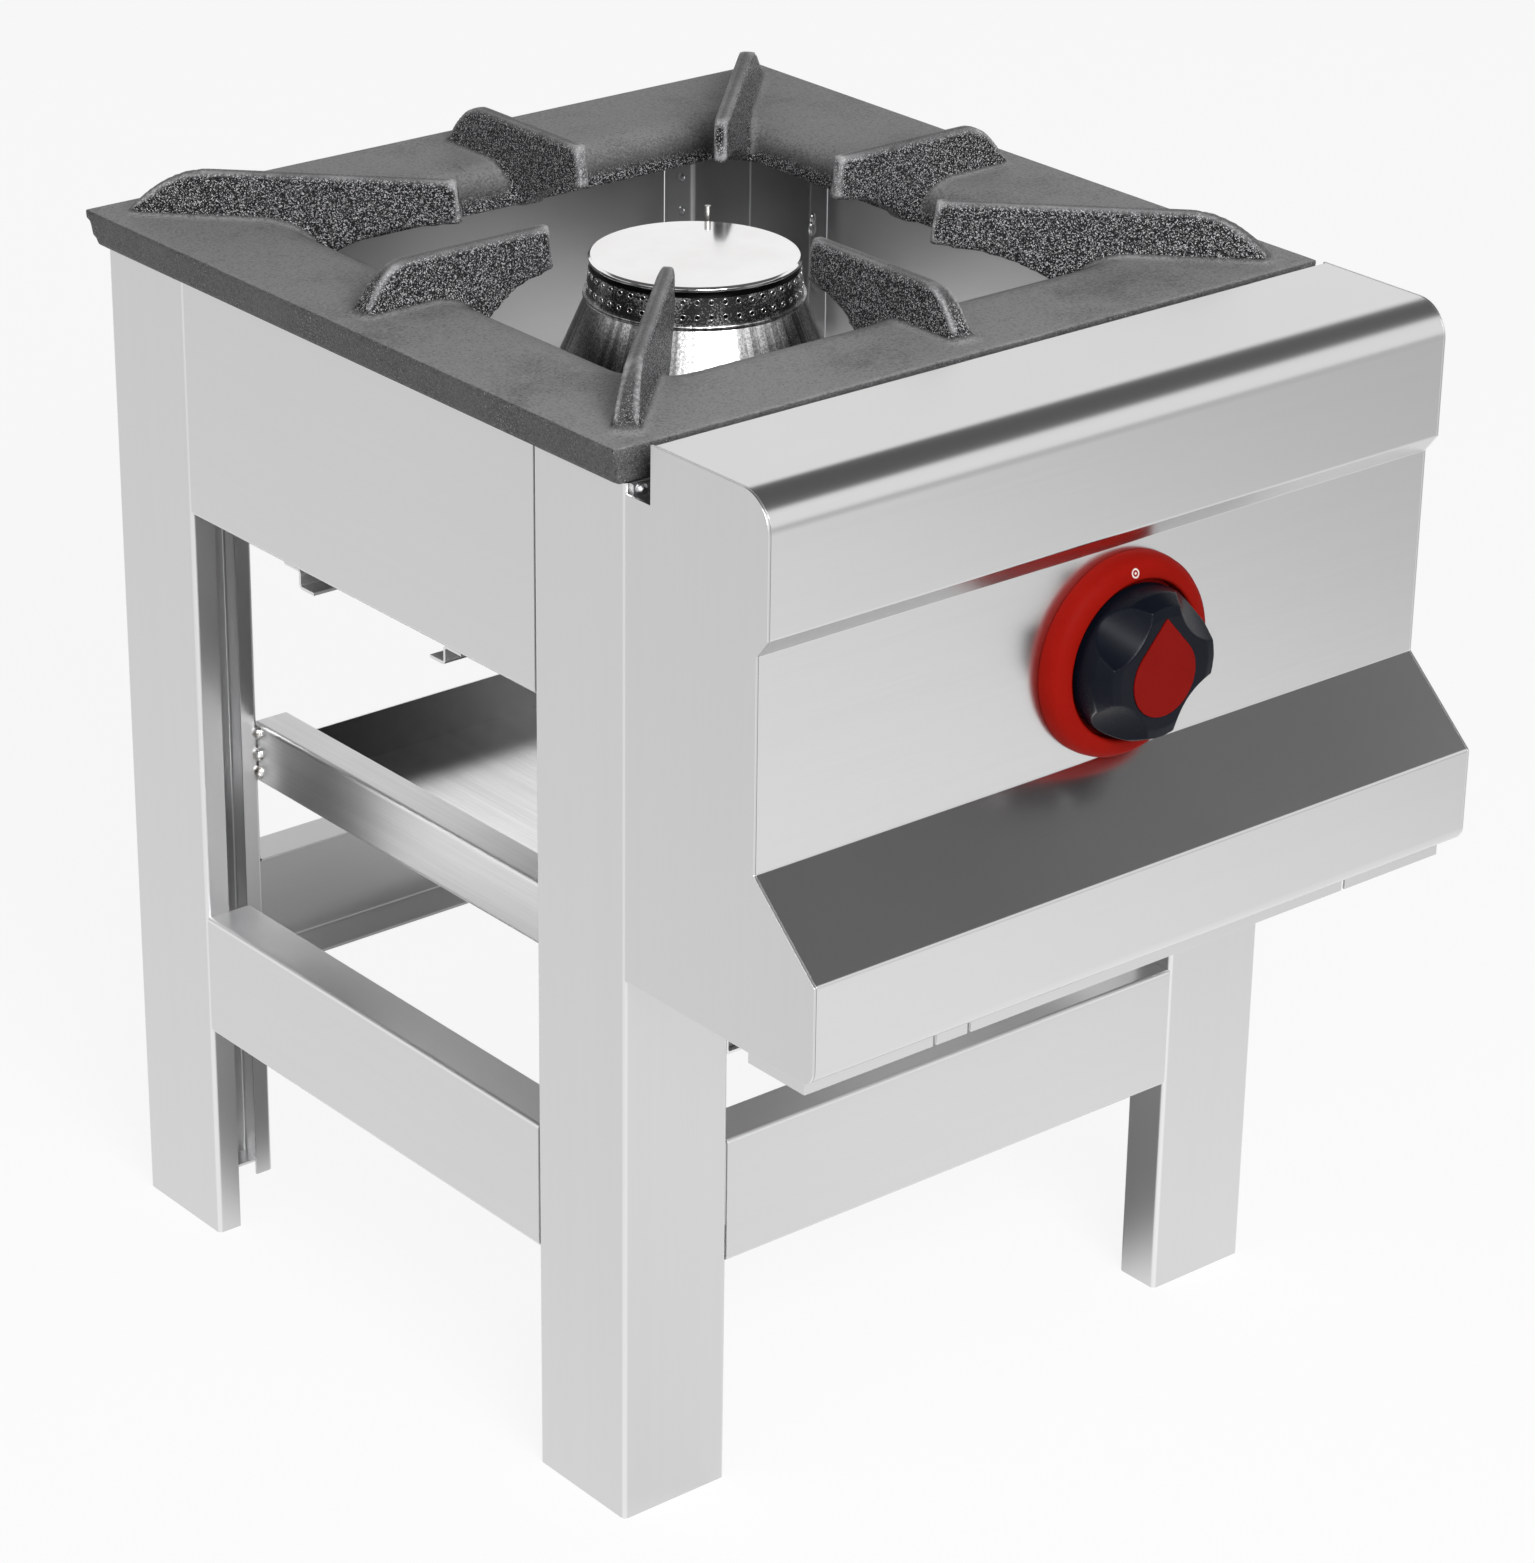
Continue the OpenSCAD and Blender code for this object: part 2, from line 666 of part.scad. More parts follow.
// Yoke of the mixing tube: two cast arms and the eye that holds the injector
yoke_len = 24;
yoke_arm_w = 7;
yoke_arm_t = 5;
eye_r = 12;
eye_t = 9;
injector_r = 7;
module injector_yoke() {
  eye_y = venturi_mouth - yoke_len;
  difference() {
    union() {
      translate([0, eye_y, venturi_z]) rotate([-90, 0, 0]) cylinder(r = eye_r, h = eye_t);
      for (side = [-1, 1]) {
        x = side > 0 ? bell_r - yoke_arm_t : -bell_r;
        translate([x, eye_y, venturi_z - yoke_arm_w / 2])
          cube([yoke_arm_t, yoke_len + over, yoke_arm_w]);
        bar_x = side > 0 ? eye_r - over : -bell_r;
        translate([bar_x, eye_y, venturi_z - yoke_arm_w / 2])
          cube([bell_r - eye_r + over, eye_t, yoke_arm_w]);
      }
    }
    translate([0, eye_y - over, venturi_z])
      rotate([-90, 0, 0])
        cylinder(r = injector_r + beside, h = eye_t + 2 * over);
  }
}

module base_screw() {
  translate([0, 0, -base_screw_head_t])
    cylinder(r = screw_hex_r, h = base_screw_head_t, $fn = 6);
  cylinder(r = base_screw_r, h = sheet_t + base_screw_len - over, $fn = 32);
}
module base_screws() color(zinc) placed()
  for (front = [true, false]) base_screw_places(front) base_screw();

// Polished cone with a rolled lip, over the riser
lip_r = 1.6;
module burner_cone() color(polished) placed() difference() {
  translate([0, burner_y, 0]) rotate_extrude() {
    polygon([[cone_foot_r - cone_t, deck_z], [cone_foot_r, deck_z],
             [ring_r, ring_z - cone_t], [ring_r, ring_z], [riser_r + beside, ring_z],
             [riser_r + beside, ring_z - cone_t], [ring_r - cone_t, ring_z - cone_t]]);
    translate([ring_r, ring_z - lip_r / 2]) circle(r = lip_r, $fn = 32);
  }
  // The lip stays below the foot of the flame ring
  translate([0, burner_y, ring_z]) cylinder(r = ring_r + 2 * lip_r, h = 2 * lip_r);
}

// Flame ring: a perforated wall under a recessed neck
neck_h = 1.6;
neck_in = 3;
ring_taper = 1.4;
ring_wall = 3;
row_shares = [0.27, 0.74];
ring_in = ring_r - neck_in - ring_wall;
module flame_ring() color(polished) placed() translate([0, burner_y, 0]) difference() {
  rotate_extrude()
    polygon([[ring_in - ring_wall, ring_z], [ring_r, ring_z],
             [ring_r - ring_taper, ring_top - neck_h], [ring_r - neck_in, ring_top - neck_h],
             [ring_r - neck_in, ring_top], [ring_in, ring_top],
             [ring_in, ring_z + neck_h], [ring_in - ring_wall, ring_z + neck_h]]);
  for (share = row_shares, i = [0:port_count - 1])
    translate([0, 0, ring_z + share * ring_h])
      rotate([0, 90, i * 360 / port_count])
        translate([0, 0, ring_in - over])
          cylinder(r = port_r, h = ring_r - ring_in + 2 * over, $fn = 16);
}

// Flat cap with a softened rim and a spigot that centres it in the ring
cap_edge = 1;
spigot_play = 0.4;
spigot_h = 5;
spigot_t = 2.4;
module burner_cap() color(polished) placed() translate([0, burner_y, 0])
  rotate_extrude()
    polygon([[0, cap_top - cap_t], [ring_in - spigot_play - spigot_t, cap_top - cap_t],
             [ring_in - spigot_play - spigot_t, cap_top - cap_t - spigot_h],
             [ring_in - spigot_play, cap_top - cap_t - spigot_h],
             [ring_in - spigot_play, cap_top - cap_t],
             [cap_r - cap_edge, cap_top - cap_t], [cap_r, cap_top - cap_t + cap_edge],
             [cap_r, cap_top - cap_edge], [cap_r - cap_edge, cap_top], [0, cap_top]]);

// Injector, with the air shutter on its barrel
injector_len = 40;
injector_tip = 8;
injector_hex_r = 10;
injector_hex_t = 8;
jet_r = 1.2;
injector_y = venturi_mouth - yoke_len - injector_hex_t;
module injector() color(brass) placed() translate([0, injector_y, venturi_z])
  rotate([-90, 0, 0]) difference() {
    rotate_extrude($fn = 48)
      polygon([[0, 0], [injector_hex_r, 0], [injector_hex_r, injector_hex_t],
               [injector_r, injector_hex_t], [injector_r, injector_len - injector_tip],
               [injector_r / 2, injector_len], [0, injector_len]]);
    translate([0, 0, -over]) cylinder(r = jet_r, h = injector_len + 2 * over, $fn = 24);
  }
module hex_nut(r, hole_r, t) difference() {
  cylinder(r = r, h = t, $fn = 6);
  translate([0, 0, -over]) cylinder(r = hole_r, h = t + 2 * over, $fn = 48);
}
shutter_r = bell_r - yoke_arm_t - seat_gap;
shutter_t = 1.5;
shutter_hub_r = 10;
shutter_hub_t = 6;
shutter_gap = 6;
module air_shutter() color(zinc) placed()
  translate([0, venturi_mouth - shutter_gap, venturi_z])
    rotate([90, 0, 0]) difference() {
      union() {
        cylinder(r = shutter_r, h = shutter_t);
        cylinder(r = shutter_hub_r, h = shutter_hub_t);
      }
      translate([0, 0, -over])
        cylinder(r = injector_r + beside, h = shutter_hub_t + 2 * over, $fn = 48);
    }

// Pipe from the valve to the injector, and its two union nuts
burner_pipe_r = 4;
burner_pipe_bend = 12;
pipe_nut_r = 9;
pipe_nut_t = 9;
jog_run = 22;
pipe_straight = 12;
module burner_pipe() color(copper) placed() {
  jog_end = injector_y - pipe_straight;
  rod([[knob_x, outlet_y, knob_z], [knob_x, jog_end - jog_run, knob_z],
       [0, jog_end, venturi_z], [0, injector_y, venturi_z]],
      burner_pipe_r, burner_pipe_bend);
}
module pipe_nuts() color(brass) placed()
  for (at = [[knob_x, outlet_y, knob_z], [0, injector_y - pipe_nut_t, venturi_z]])
    translate(at)
      rotate([-90, 0, 0])
        hex_nut(pipe_nut_r, burner_pipe_r + beside, pipe_nut_t);

// Flame probe: a thin bent rod outside the cone whose lead runs to the valve
probe_angle = 45;
probe_off = 5;
probe_clear = 6;
probe_bend = 8;
lead_x = 104;
lead_drop = 22;
lead_z = deck_z - lead_drop;
probe_top = cap_top + probe_rise;
function at_probe(r, z) = [r * cos(probe_angle), burner_y + r * sin(probe_angle), z];
probe_in = cap_r + probe_off;
probe_out = deck_r + probe_clear;
probe_knee_z = ring_z - 2 * lip_r;
module flame_probe() color(copper) placed()
  rod([at_probe(probe_in, probe_top), at_probe(probe_in, probe_knee_z + probe_clear),
       at_probe(probe_out, deck_z), at_probe(probe_out, lead_z),
       [lead_x, at_probe(probe_out, lead_z)[1], lead_z],
       [lead_x, lead_y, lead_z], [knob_x + valve_r, lead_y, knob_z]],
      probe_r, probe_bend);

// Bracket on the rear rail that holds the probe
bracket_w = 10;
bracket_run = 10;
bracket_t = 1.5;
bracket_up = 22;
module probe_bracket() color(inner_steel) placed() {
  at = at_probe(probe_out, 0);
  foot_y = burner_y + rail_rear_reach + fold_r;
  difference() {
    translate([at[0], 0, 0])
      along_x(-bracket_w / 2, bracket_w / 2)
        folded([[foot_y, apron_z], [foot_y + bracket_run, apron_z],
                [foot_y + bracket_run, apron_z + bracket_up],
                [at[1] + bracket_w / 2, apron_z + bracket_up]], bracket_t, fold_r);
    translate([at[0], at[1], apron_z + bracket_up - 2 * bracket_t])
      cylinder(r = probe_r + beside, h = 4 * bracket_t, $fn = 32);
  }
}

// Gas valve behind the panel. Heights run along the knob's axis: zero on the
// panel's face, positive towards the user.

module on_panel() translate([knob_x, -knob_plane_y, knob_z]) rotate([90, 0, 0]) children();

bonnet_r = 20;
outlet_r = 8;
valve_wall = 4;
valve_bore = valve_r - valve_wall;
port_bore = 3;
plug_r = valve_bore - running;
plug_len = 20;
plug_front = valve_back + valve_wall + seat_gap + plug_len;
plug_socket = 12;
inlet_boss_r = 12;
inlet_boss_len = 26;
inlet_boss_h = valve_back + valve_wall + valve_bore;
valve_screw_r = 1.5;
valve_screw_reach = 15;
valve_screw_head_r = 2.8;
valve_screw_head_t = 1.8;
valve_screw_len = 6;

module valve_screw_places()
  for (side = [-1, 1]) translate([side * valve_screw_reach, 0, 0]) children();

module gas_valve() color(brass) placed() on_panel() difference() {
  union() {
    translate([0, 0, valve_back]) cylinder(r = valve_r, h = valve_len);
    translate([0, 0, valve_back - outlet_len]) cylinder(r = outlet_r, h = outlet_len + over);
    translate([0, 0, inlet_boss_h])
      rotate([0, -90, 0])
        cylinder(r = inlet_boss_r, h = inlet_boss_len);
  }
  translate([0, 0, valve_back + valve_wall])
    cylinder(r = valve_bore, h = valve_len - valve_wall + over);
  translate([0, 0, valve_back - outlet_len - over])
    cylinder(r = port_bore, h = outlet_len + valve_wall + 2 * over);
  translate([0, 0, inlet_boss_h])
    rotate([0, -90, 0])
      cylinder(r = port_bore, h = inlet_boss_len + over);
}

// Bonnet that closes the valve and screws to the back of the panel
module valve_bonnet() color(brass) placed() on_panel() difference() {
  translate([0, 0, bonnet_back]) cylinder(r = bonnet_r, h = bonnet_t);
  translate([0, 0, bonnet_back - over])
    cylinder(r = stem_r + running, h = bonnet_t + 2 * over);
  valve_screw_places()
    translate([0, 0, bonnet_back - over])
      cylinder(r = valve_screw_r + beside, h = bonnet_t + 2 * over, $fn = 24);
}
module valve_screws() color(zinc) placed() on_panel() valve_screw_places() {
  translate([0, 0, -valve_screw_len]) cylinder(r = valve_screw_r, h = valve_screw_len, $fn = 24);
  cylinder(r = valve_screw_head_r, h = valve_screw_head_t, $fn = 24);
}

// Section of the stem's tail and of the sockets that it drives: a round with
// one flat
flat_share = 0.7;
module stem_section(play) intersection() {
  circle(r = stem_r + play);
  translate([-2 * stem_r, -2 * stem_r]) square([(2 + flat_share) * stem_r + play, 4 * stem_r]);
}

// Plug with its socket for the stem, a cross port and a rear port
module valve_plug() color(brass) placed() on_panel() difference() {
  translate([0, 0, plug_front - plug_len]) cylinder(r = plug_r, h = plug_len);
  translate([0, 0, plug_front - plug_socket])
    linear_extrude(plug_socket + over)
      stem_section(running);
  translate([0, 0, plug_front - plug_len - over])
    cylinder(r = port_bore, h = plug_len - plug_socket);
  translate([0, 0, inlet_boss_h])
    rotate([0, -90, 0])
      cylinder(r = port_bore / 2, h = plug_r + over);
}

collar_r = 7;
collar_t = 2;
collar_front = bonnet_back - seat_gap;
stem_tail = plug_front - plug_socket + push_travel + over;
// The flat runs on past the plug, so that it clears the socket when pushed
tail_end = plug_front + push_travel + seat_gap;
stem_cover = 9;
stem_front = knob_h - stem_cover;
module valve_stem() color(zinc) placed() on_panel() {
  translate([0, 0, stem_tail]) linear_extrude(tail_end - stem_tail) stem_section(0);
  translate([0, 0, tail_end]) cylinder(r = stem_r, h = knob_skirt_h - tail_end);
  translate([0, 0, knob_skirt_h]) linear_extrude(stem_front - knob_skirt_h) stem_section(0);
  translate([0, 0, collar_front - collar_t]) cylinder(r = collar_r, h = collar_t);
}

// Return spring round the stem, between the plug and the stem's collar
spring_wire_r = 0.6;
spring_turns = 4.5;
spring_off = 1.6;
spring_r = stem_r + spring_off;
spring_steps = 14;
spring_sides = 6;
module stem_spring() color(zinc) placed() on_panel() {
  low = plug_front + spring_wire_r + beside;
  high = collar_front - collar_t - spring_wire_r - beside;
  count = round(spring_turns * spring_steps);
  points = [for (i = [0:count], j = [0:spring_sides - 1])
    let (a = 360 * i / spring_steps, b = 360 * j / spring_sides,
         r = spring_r + spring_wire_r * cos(b))
    [r * cos(a), r * sin(a), low + (high - low) * i / count + spring_wire_r * sin(b)]];
  sides = [for (i = [0:count - 1], j = [0:spring_sides - 1])
    let (k = (j + 1) % spring_sides, a = i * spring_sides, b = a + spring_sides)
    each [[a + j, b + k, a + k], [a + j, b + j, b + k]]];
  ends = [[for (j = [0:spring_sides - 1]) j],
          [for (j = [spring_sides - 1:-1:0]) count * spring_sides + j]];
  polyhedron(points, concat(sides, ends), convexity = 8);
}

// Knob with its bezel and inlay

knob_skirt_h = 8;
knob_skirt_t = 5;
knob_play = 1.7;
bezel_floor = 3.5;
bezel_crown_w = 4;
bezel_edge_h = 2;
bezel_step = 20;
module knob_bezel() color(bezel_red) placed() on_panel() {
  inner = knob_r + knob_play;
  dome_w = bezel_r - inner - bezel_crown_w / 2;
  rotate_extrude()
    difference() {
      polygon([[stem_hole_r, 0], [bezel_r, 0], [bezel_r, bezel_edge_h],
               for (a = [bezel_step:bezel_step:90 - bezel_step])
                 [bezel_r - dome_w * (1 - cos(a)),
                  bezel_edge_h + (bezel_h - bezel_edge_h) * sin(a)],
               [bezel_r - dome_w, bezel_h], [inner + bezel_edge_h / 2, bezel_h],
               [inner, bezel_h - bezel_edge_h / 2], [inner, bezel_floor],
               [stem_hole_r, bezel_floor]]);
      // Shallow pocket over the heads of the valve screws
      translate([valve_screw_reach - 2 * valve_screw_head_r, -over])
        square([4 * valve_screw_head_r, over + valve_screw_head_t + beside]);
    }
}

knob_edge = 1;
knob_dome = 4.5;
flute_tilt = 39;
insert_t = 1.2;
insert_sink = 0.8;
insert_shift = 2;
knob_socket_play = 0.1;
module teardrop(play) {
  r = insert_r + play;
  tip = insert_tip + play * insert_tip / insert_r;
  a = asin(r / tip);
  translate([0, -insert_shift]) {
    circle(r = r);
    polygon([[r * cos(a), r * sin(a)], [0, tip], [-r * cos(a), r * sin(a)]]);
  }
}
module control_knob() color(knob_black) placed() on_panel() difference() {
  rotate_extrude()
    polygon([[0, knob_skirt_h], [knob_r - knob_edge, knob_skirt_h],
             [knob_r, knob_skirt_h + knob_edge], [knob_r, knob_skirt_h + knob_skirt_t],
             [knob_r - knob_edge, knob_h - 2 * knob_dome],
             [knob_r - knob_dome, knob_h - knob_edge],
             [knob_r - 2 * knob_dome, knob_h], [0, knob_h]]);
  for (i = [0:3])
    rotate([0, 0, 45 + 90 * i])
      translate([flute_hub + flute_r / cos(flute_tilt), 0, knob_h])
        rotate([0, -flute_tilt, 0])
          cylinder(r = flute_r, h = 4 * knob_h, center = true);
  translate([0, 0, knob_h - insert_sink])
    linear_extrude(insert_sink + over)
      teardrop(knob_socket_play);
  translate([0, 0, knob_skirt_h - over])
    linear_extrude(stem_front - knob_skirt_h + over + knob_socket_play)
      stem_section(knob_socket_play);
}
module knob_insert() color(bezel_red) placed() on_panel()
  translate([0, 0, knob_h - insert_sink + knob_socket_play])
    linear_extrude(insert_t)
      teardrop(0);

// Gas supply

supply_wall = 2.6;
supply_bore = supply_r - supply_wall;
supply_bend = 26;
inlet_hex_r = 16;
locknut_t = 6;
supply_front_y = -knob_plane_y - inlet_boss_h;
module supply_pipe() color(zinc) placed() {
  end_x = knob_x - inlet_boss_len;
  difference() {
    translate([-inlet_x, supply_front_y + supply_bend, knob_z])
      rotate([-90, 0, 0])
        cylinder(r = supply_r, h = stand_d - supply_front_y - supply_bend);
    translate([-inlet_x, stand_d + over, knob_z])
      rotate([90, 0, 0])
        cylinder(r = supply_bore, h = stand_d / 2);
  }
  translate([supply_bend - inlet_x, supply_front_y + supply_bend, knob_z])
    rotate([0, 0, 180])
      rotate_extrude(angle = 90)
        translate([supply_bend, 0])
          circle(r = supply_r);
  translate([supply_bend - inlet_x, supply_front_y, knob_z])
    rotate([0, 90, 0])
      cylinder(r = supply_r, h = end_x + inlet_x - supply_bend);
}
module pipe_locknut() color(zinc) placed()
  translate([-inlet_x, stand_d - sheet_t, knob_z])
    rotate([90, 0, 0])
      hex_nut(inlet_hex_r, supply_r + beside, locknut_t);
module gas_inlet() color(brass) placed()
  translate([-inlet_x, stand_d, knob_z]) rotate([-90, 0, 0]) difference() {
    union() {
      cylinder(r = inlet_hex_r, h = inlet_hex_t, $fn = 6);
      cylinder(r = inlet_r, h = inlet_hex_t + inlet_len);
    }
    translate([0, 0, -over]) cylinder(r = supply_bore, h = inlet_hex_t + inlet_len + 2 * over);
  }

// Pan support: a hollow cast band with a rolled inner edge and eight fins

roll_z = pan_top - roll_r;
foot_margin = 14;
corner_foot_margin = 21.5;
mid_nose = 25;
corner_nose = 40;
tip_draft = 3;
ridge_edge = 1.5;
belly_power = 2.45;
curve_steps = 8;
belly_gap = 1;
tip_run = 70;

// Width of the rolled edge at a depth below the band
function roll_in(r, depth) = sqrt(r * r - (r - depth) * (r - depth));

// Quarter section of the rolled edge, from the arc's axis at zero
module roll_section() difference() {
  intersection() {
    translate([0, roll_z]) circle(r = roll_r);
    translate([-roll_r, pan_low]) square([roll_r, pan_h]);
  }
  translate([0, roll_z]) circle(r = roll_r - pan_wall);
}

// Solid between the outer edges of the band, drawn in from the top by an inset
module band_block(inset, low, high) intersection() {
  along_y(burner_y - pan_half_y, burner_y + pan_half_y)
    band_taper(pan_half_x - inset, low, high);
  translate([0, burner_y, 0])
    along_x(-pan_half_x, pan_half_x)
      band_taper(pan_half_y - inset, low, high);
}
module band_taper(half, low, high) {
  slope = pan_draft / pan_h;
  low_half = half - slope * (pan_top - low);
  high_half = half - slope * (pan_top - high);
  polygon([[-low_half, low], [low_half, low], [high_half, high], [-high_half, high]]);
}

// The opening's outline where the rolled edge starts
module roll_outline() {
  flat = roll_half - roll_corner_r;
  square([2 * roll_half, 2 * flat], center = true);
  square([2 * flat, 2 * roll_half], center = true);
  for (x = [-flat, flat], y = [-flat, flat]) translate([x, y]) circle(r = roll_corner_r);
}

module rolled_edge() {
  flat = roll_half - roll_corner_r;
  for (i = [0:3]) rotate([0, 0, 90 * i]) {
    along_y(-flat, flat) translate([roll_half, 0]) roll_section();
    translate([flat, flat, 0])
      rotate_extrude(angle = 90)
        translate([roll_corner_r, 0])
          roll_section();
  }
}

// Side view of a fin, with heights from the top of the band and the distance
// from the burner's axis. Below the band it stays inside the casting's wall.
module fin_outline(tip, foot, nose, arc_at) {
  arc_r = roll_r - pan_wall / 2;
  belly_end = arc_at - roll_in(roll_r, pan_h) - belly_gap;
  polygon([
    [tip, 0], [tip + tip_draft, fin_h],
    for (i = [0:curve_steps])
      let (s = i / curve_steps) [foot - nose * (1 - s), fin_h * (1 - s * s)],
    [foot, -pan_wall / 2],
    for (i = [0:curve_steps])
      let (a = 90 + (asin((roll_r - pan_h) / arc_r) - 90) * i / curve_steps)
      [arc_at - arc_r * cos(a), arc_r * sin(a) - roll_r],
    for (i = [curve_steps:-1:1])
      let (s = i / curve_steps) [tip + (belly_end - tip) * s, -pan_h * pow(s, belly_power)]
  ]);
}
module fin(tip, foot, nose, arc_at) translate([0, 0, pan_top]) intersection() {
  along_y(-fin_foot_w, fin_foot_w) fin_outline(tip, foot, nose, arc_at);
  along_x(0, foot + fin_foot_w)
    polygon([[-fin_foot_w / 2, -pan_h], [fin_foot_w / 2, -pan_h],
             [fin_ridge_w / 2, fin_h - ridge_edge], [fin_ridge_w / 2 - ridge_edge, fin_h],
             [ridge_edge - fin_ridge_w / 2, fin_h], [-fin_ridge_w / 2, fin_h - ridge_edge]]);
  translate([0, 0, -pan_h - over])
    linear_extrude(pan_h + fin_h + 2 * over)
      polygon([[tip - over, -fin_tip_w / 2], [tip + tip_run, -fin_foot_w / 2 - over],
               [foot + over, -fin_foot_w / 2 - over], [foot + over, fin_foot_w / 2 + over],
               [tip + tip_run, fin_foot_w / 2 + over], [tip - over, fin_tip_w / 2]]);
}

module pan_support() color(iron) placed() {
  difference() {
    band_block(0, pan_low, pan_top);
    band_block(pan_wall, pan_low - over, pan_top - pan_wall);
    translate([0, burner_y, pan_low - over])
      linear_extrude(pan_h + 2 * over)
        roll_outline();
  }
  translate([0, burner_y, 0]) {
    rolled_edge();
    for (i = [0:3]) {
      foot = (i % 2 == 0 ? pan_half_x : pan_half_y) - foot_margin;
      rotate([0, 0, 90 * i]) fin(mid_fin_reach, foot, mid_nose, roll_half);
      rotate([0, 0, 45 + 90 * i])
        fin(corner_fin_reach, norm([pan_half_x, pan_half_y]) - corner_foot_margin,
            corner_nose, sqrt(2) * (roll_half - roll_corner_r) + roll_corner_r);
    }
  }
}

leg_front_left();
leg_front_right();
leg_rear_left();
leg_rear_right();
apron_left();
apron_right();
apron_rear();
front_rail();
stretcher_left();
stretcher_right();
stretcher_front();
stretcher_rear();
tray_runner_left();
tray_runner_right();
runner_welds();
drip_tray();
control_panel();
panel_cheek_left();
panel_cheek_right();
panel_bottom_cover();
panel_hangers();
panel_screws();
burner_rail_front();
burner_rail_rear();
burner_base();
base_screws();
burner_cone();
flame_ring();
burner_cap();
air_shutter();
injector();
burner_pipe();
pipe_nuts();
flame_probe();
probe_bracket();
gas_valve();
valve_bonnet();
valve_screws();
valve_plug();
valve_stem();
stem_spring();
knob_bezel();
control_knob();
knob_insert();
supply_pipe();
pipe_locknut();
gas_inlet();
pan_support();
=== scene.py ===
import json
import math

import bmesh
import bpy
from mathutils import Matrix, Vector


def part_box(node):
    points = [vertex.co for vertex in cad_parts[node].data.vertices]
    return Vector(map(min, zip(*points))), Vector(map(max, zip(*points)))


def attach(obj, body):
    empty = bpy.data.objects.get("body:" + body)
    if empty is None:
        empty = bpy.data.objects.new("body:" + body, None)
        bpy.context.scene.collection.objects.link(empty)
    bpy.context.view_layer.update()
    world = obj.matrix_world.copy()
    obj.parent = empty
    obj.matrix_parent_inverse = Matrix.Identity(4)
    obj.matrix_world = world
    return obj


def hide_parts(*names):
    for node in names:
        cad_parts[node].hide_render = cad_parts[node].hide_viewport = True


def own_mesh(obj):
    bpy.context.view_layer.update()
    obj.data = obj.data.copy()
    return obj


# Stock pot range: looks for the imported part. Metres, in the part's own frame.

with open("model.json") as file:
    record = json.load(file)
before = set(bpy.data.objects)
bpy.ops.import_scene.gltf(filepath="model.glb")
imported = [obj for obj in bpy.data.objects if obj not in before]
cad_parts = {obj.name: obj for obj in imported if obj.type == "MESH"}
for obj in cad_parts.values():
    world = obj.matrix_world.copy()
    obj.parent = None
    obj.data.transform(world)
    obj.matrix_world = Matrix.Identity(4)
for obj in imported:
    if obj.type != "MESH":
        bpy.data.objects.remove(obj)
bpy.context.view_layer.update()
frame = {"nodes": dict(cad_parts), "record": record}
record = frame["record"]
BODY_OF = {node: body for body, nodes in record["behaviour"]["bodies"].items() for node in nodes}

MM = 0.001


# Small helpers for node trees

def put(tree, kind, inputs=None, **settings):
    """Adds a node, with its settings, and with values or links on its inputs."""
    made = tree.nodes.new(kind)
    for name, value in settings.items():
        setattr(made, name, value)
    for name, value in (inputs or {}).items():
        if isinstance(value, bpy.types.NodeSocket):
            tree.links.new(value, made.inputs[name])
        else:
            made.inputs[name].default_value = value
    return made


def shader_group(name, inputs, outputs):
    """A shader node group with named float or vector sockets."""
    group = bpy.data.node_groups.new(name, "ShaderNodeTree")
    for way, sockets in (("INPUT", inputs), ("OUTPUT", outputs)):
        for label, kind, value in sockets:
            made = group.interface.new_socket(label, in_out=way, socket_type=kind)
            if value is not None:
                made.default_value = value
    return group, put(group, "NodeGroupInput"), put(group, "NodeGroupOutput")


def use(tree, group, inputs):
    """Places a shader group in a material or a group."""
    return put(tree, "ShaderNodeGroup", inputs, node_tree=group)


def ramp(tree, fac, stops):
    """A colour ramp from (place, grey or colour) stops."""
    made = put(tree, "ShaderNodeValToRGB", {"Fac": fac})
    elements = made.color_ramp.elements
    while len(elements) < len(stops):
        elements.new(0.5)
    for element, (place, colour) in zip(elements, stops):
        element.position = place
        plain = isinstance(colour, (int, float))
        element.color = (colour, colour, colour, 1) if plain else (*colour, 1)
    return made.outputs["Color"]


def mix(tree, fac, a, b, blend="MIX"):
    """Mixes two colours."""
    made = put(tree, "ShaderNodeMix", data_type="RGBA", blend_type=blend)
    for socket, value in ((made.inputs["Factor"], fac), (made.inputs[6], a), (made.inputs[7], b)):
        if isinstance(value, bpy.types.NodeSocket):
            tree.links.new(value, socket)
        elif isinstance(value, (int, float)):
            socket.default_value = value
        else:
            socket.default_value = (*value, 1)
    return made.outputs[2]


def math_node(tree, operation, a, b=0.0, c=0.0, clamp=False):
    made = put(tree, "ShaderNodeMath", {0: a, 1: b, 2: c}, operation=operation, use_clamp=clamp)
    return made.outputs[0]


def vector_math(tree, operation, a, b=(0, 0, 0), output="Vector"):
    made = put(tree, "ShaderNodeVectorMath", {0: a, 1: b}, operation=operation)
    return made.outputs[output]


def split(tree, vector):
    """The X, Y and Z of a vector."""
    return put(tree, "ShaderNodeSeparateXYZ", {"Vector": vector}).outputs


def remap(tree, value, start=0.0, end=1.0, low=0.0, high=1.0, **settings):
    """Takes a value from start..end to low..high, and keeps it there."""
    made = put(tree, "ShaderNodeMapRange",
               {"Value": value, "From Min": start, "From Max": end, "To Min": low,
                "To Max": high}, clamp=True, **settings)
    return made.outputs["Result"]


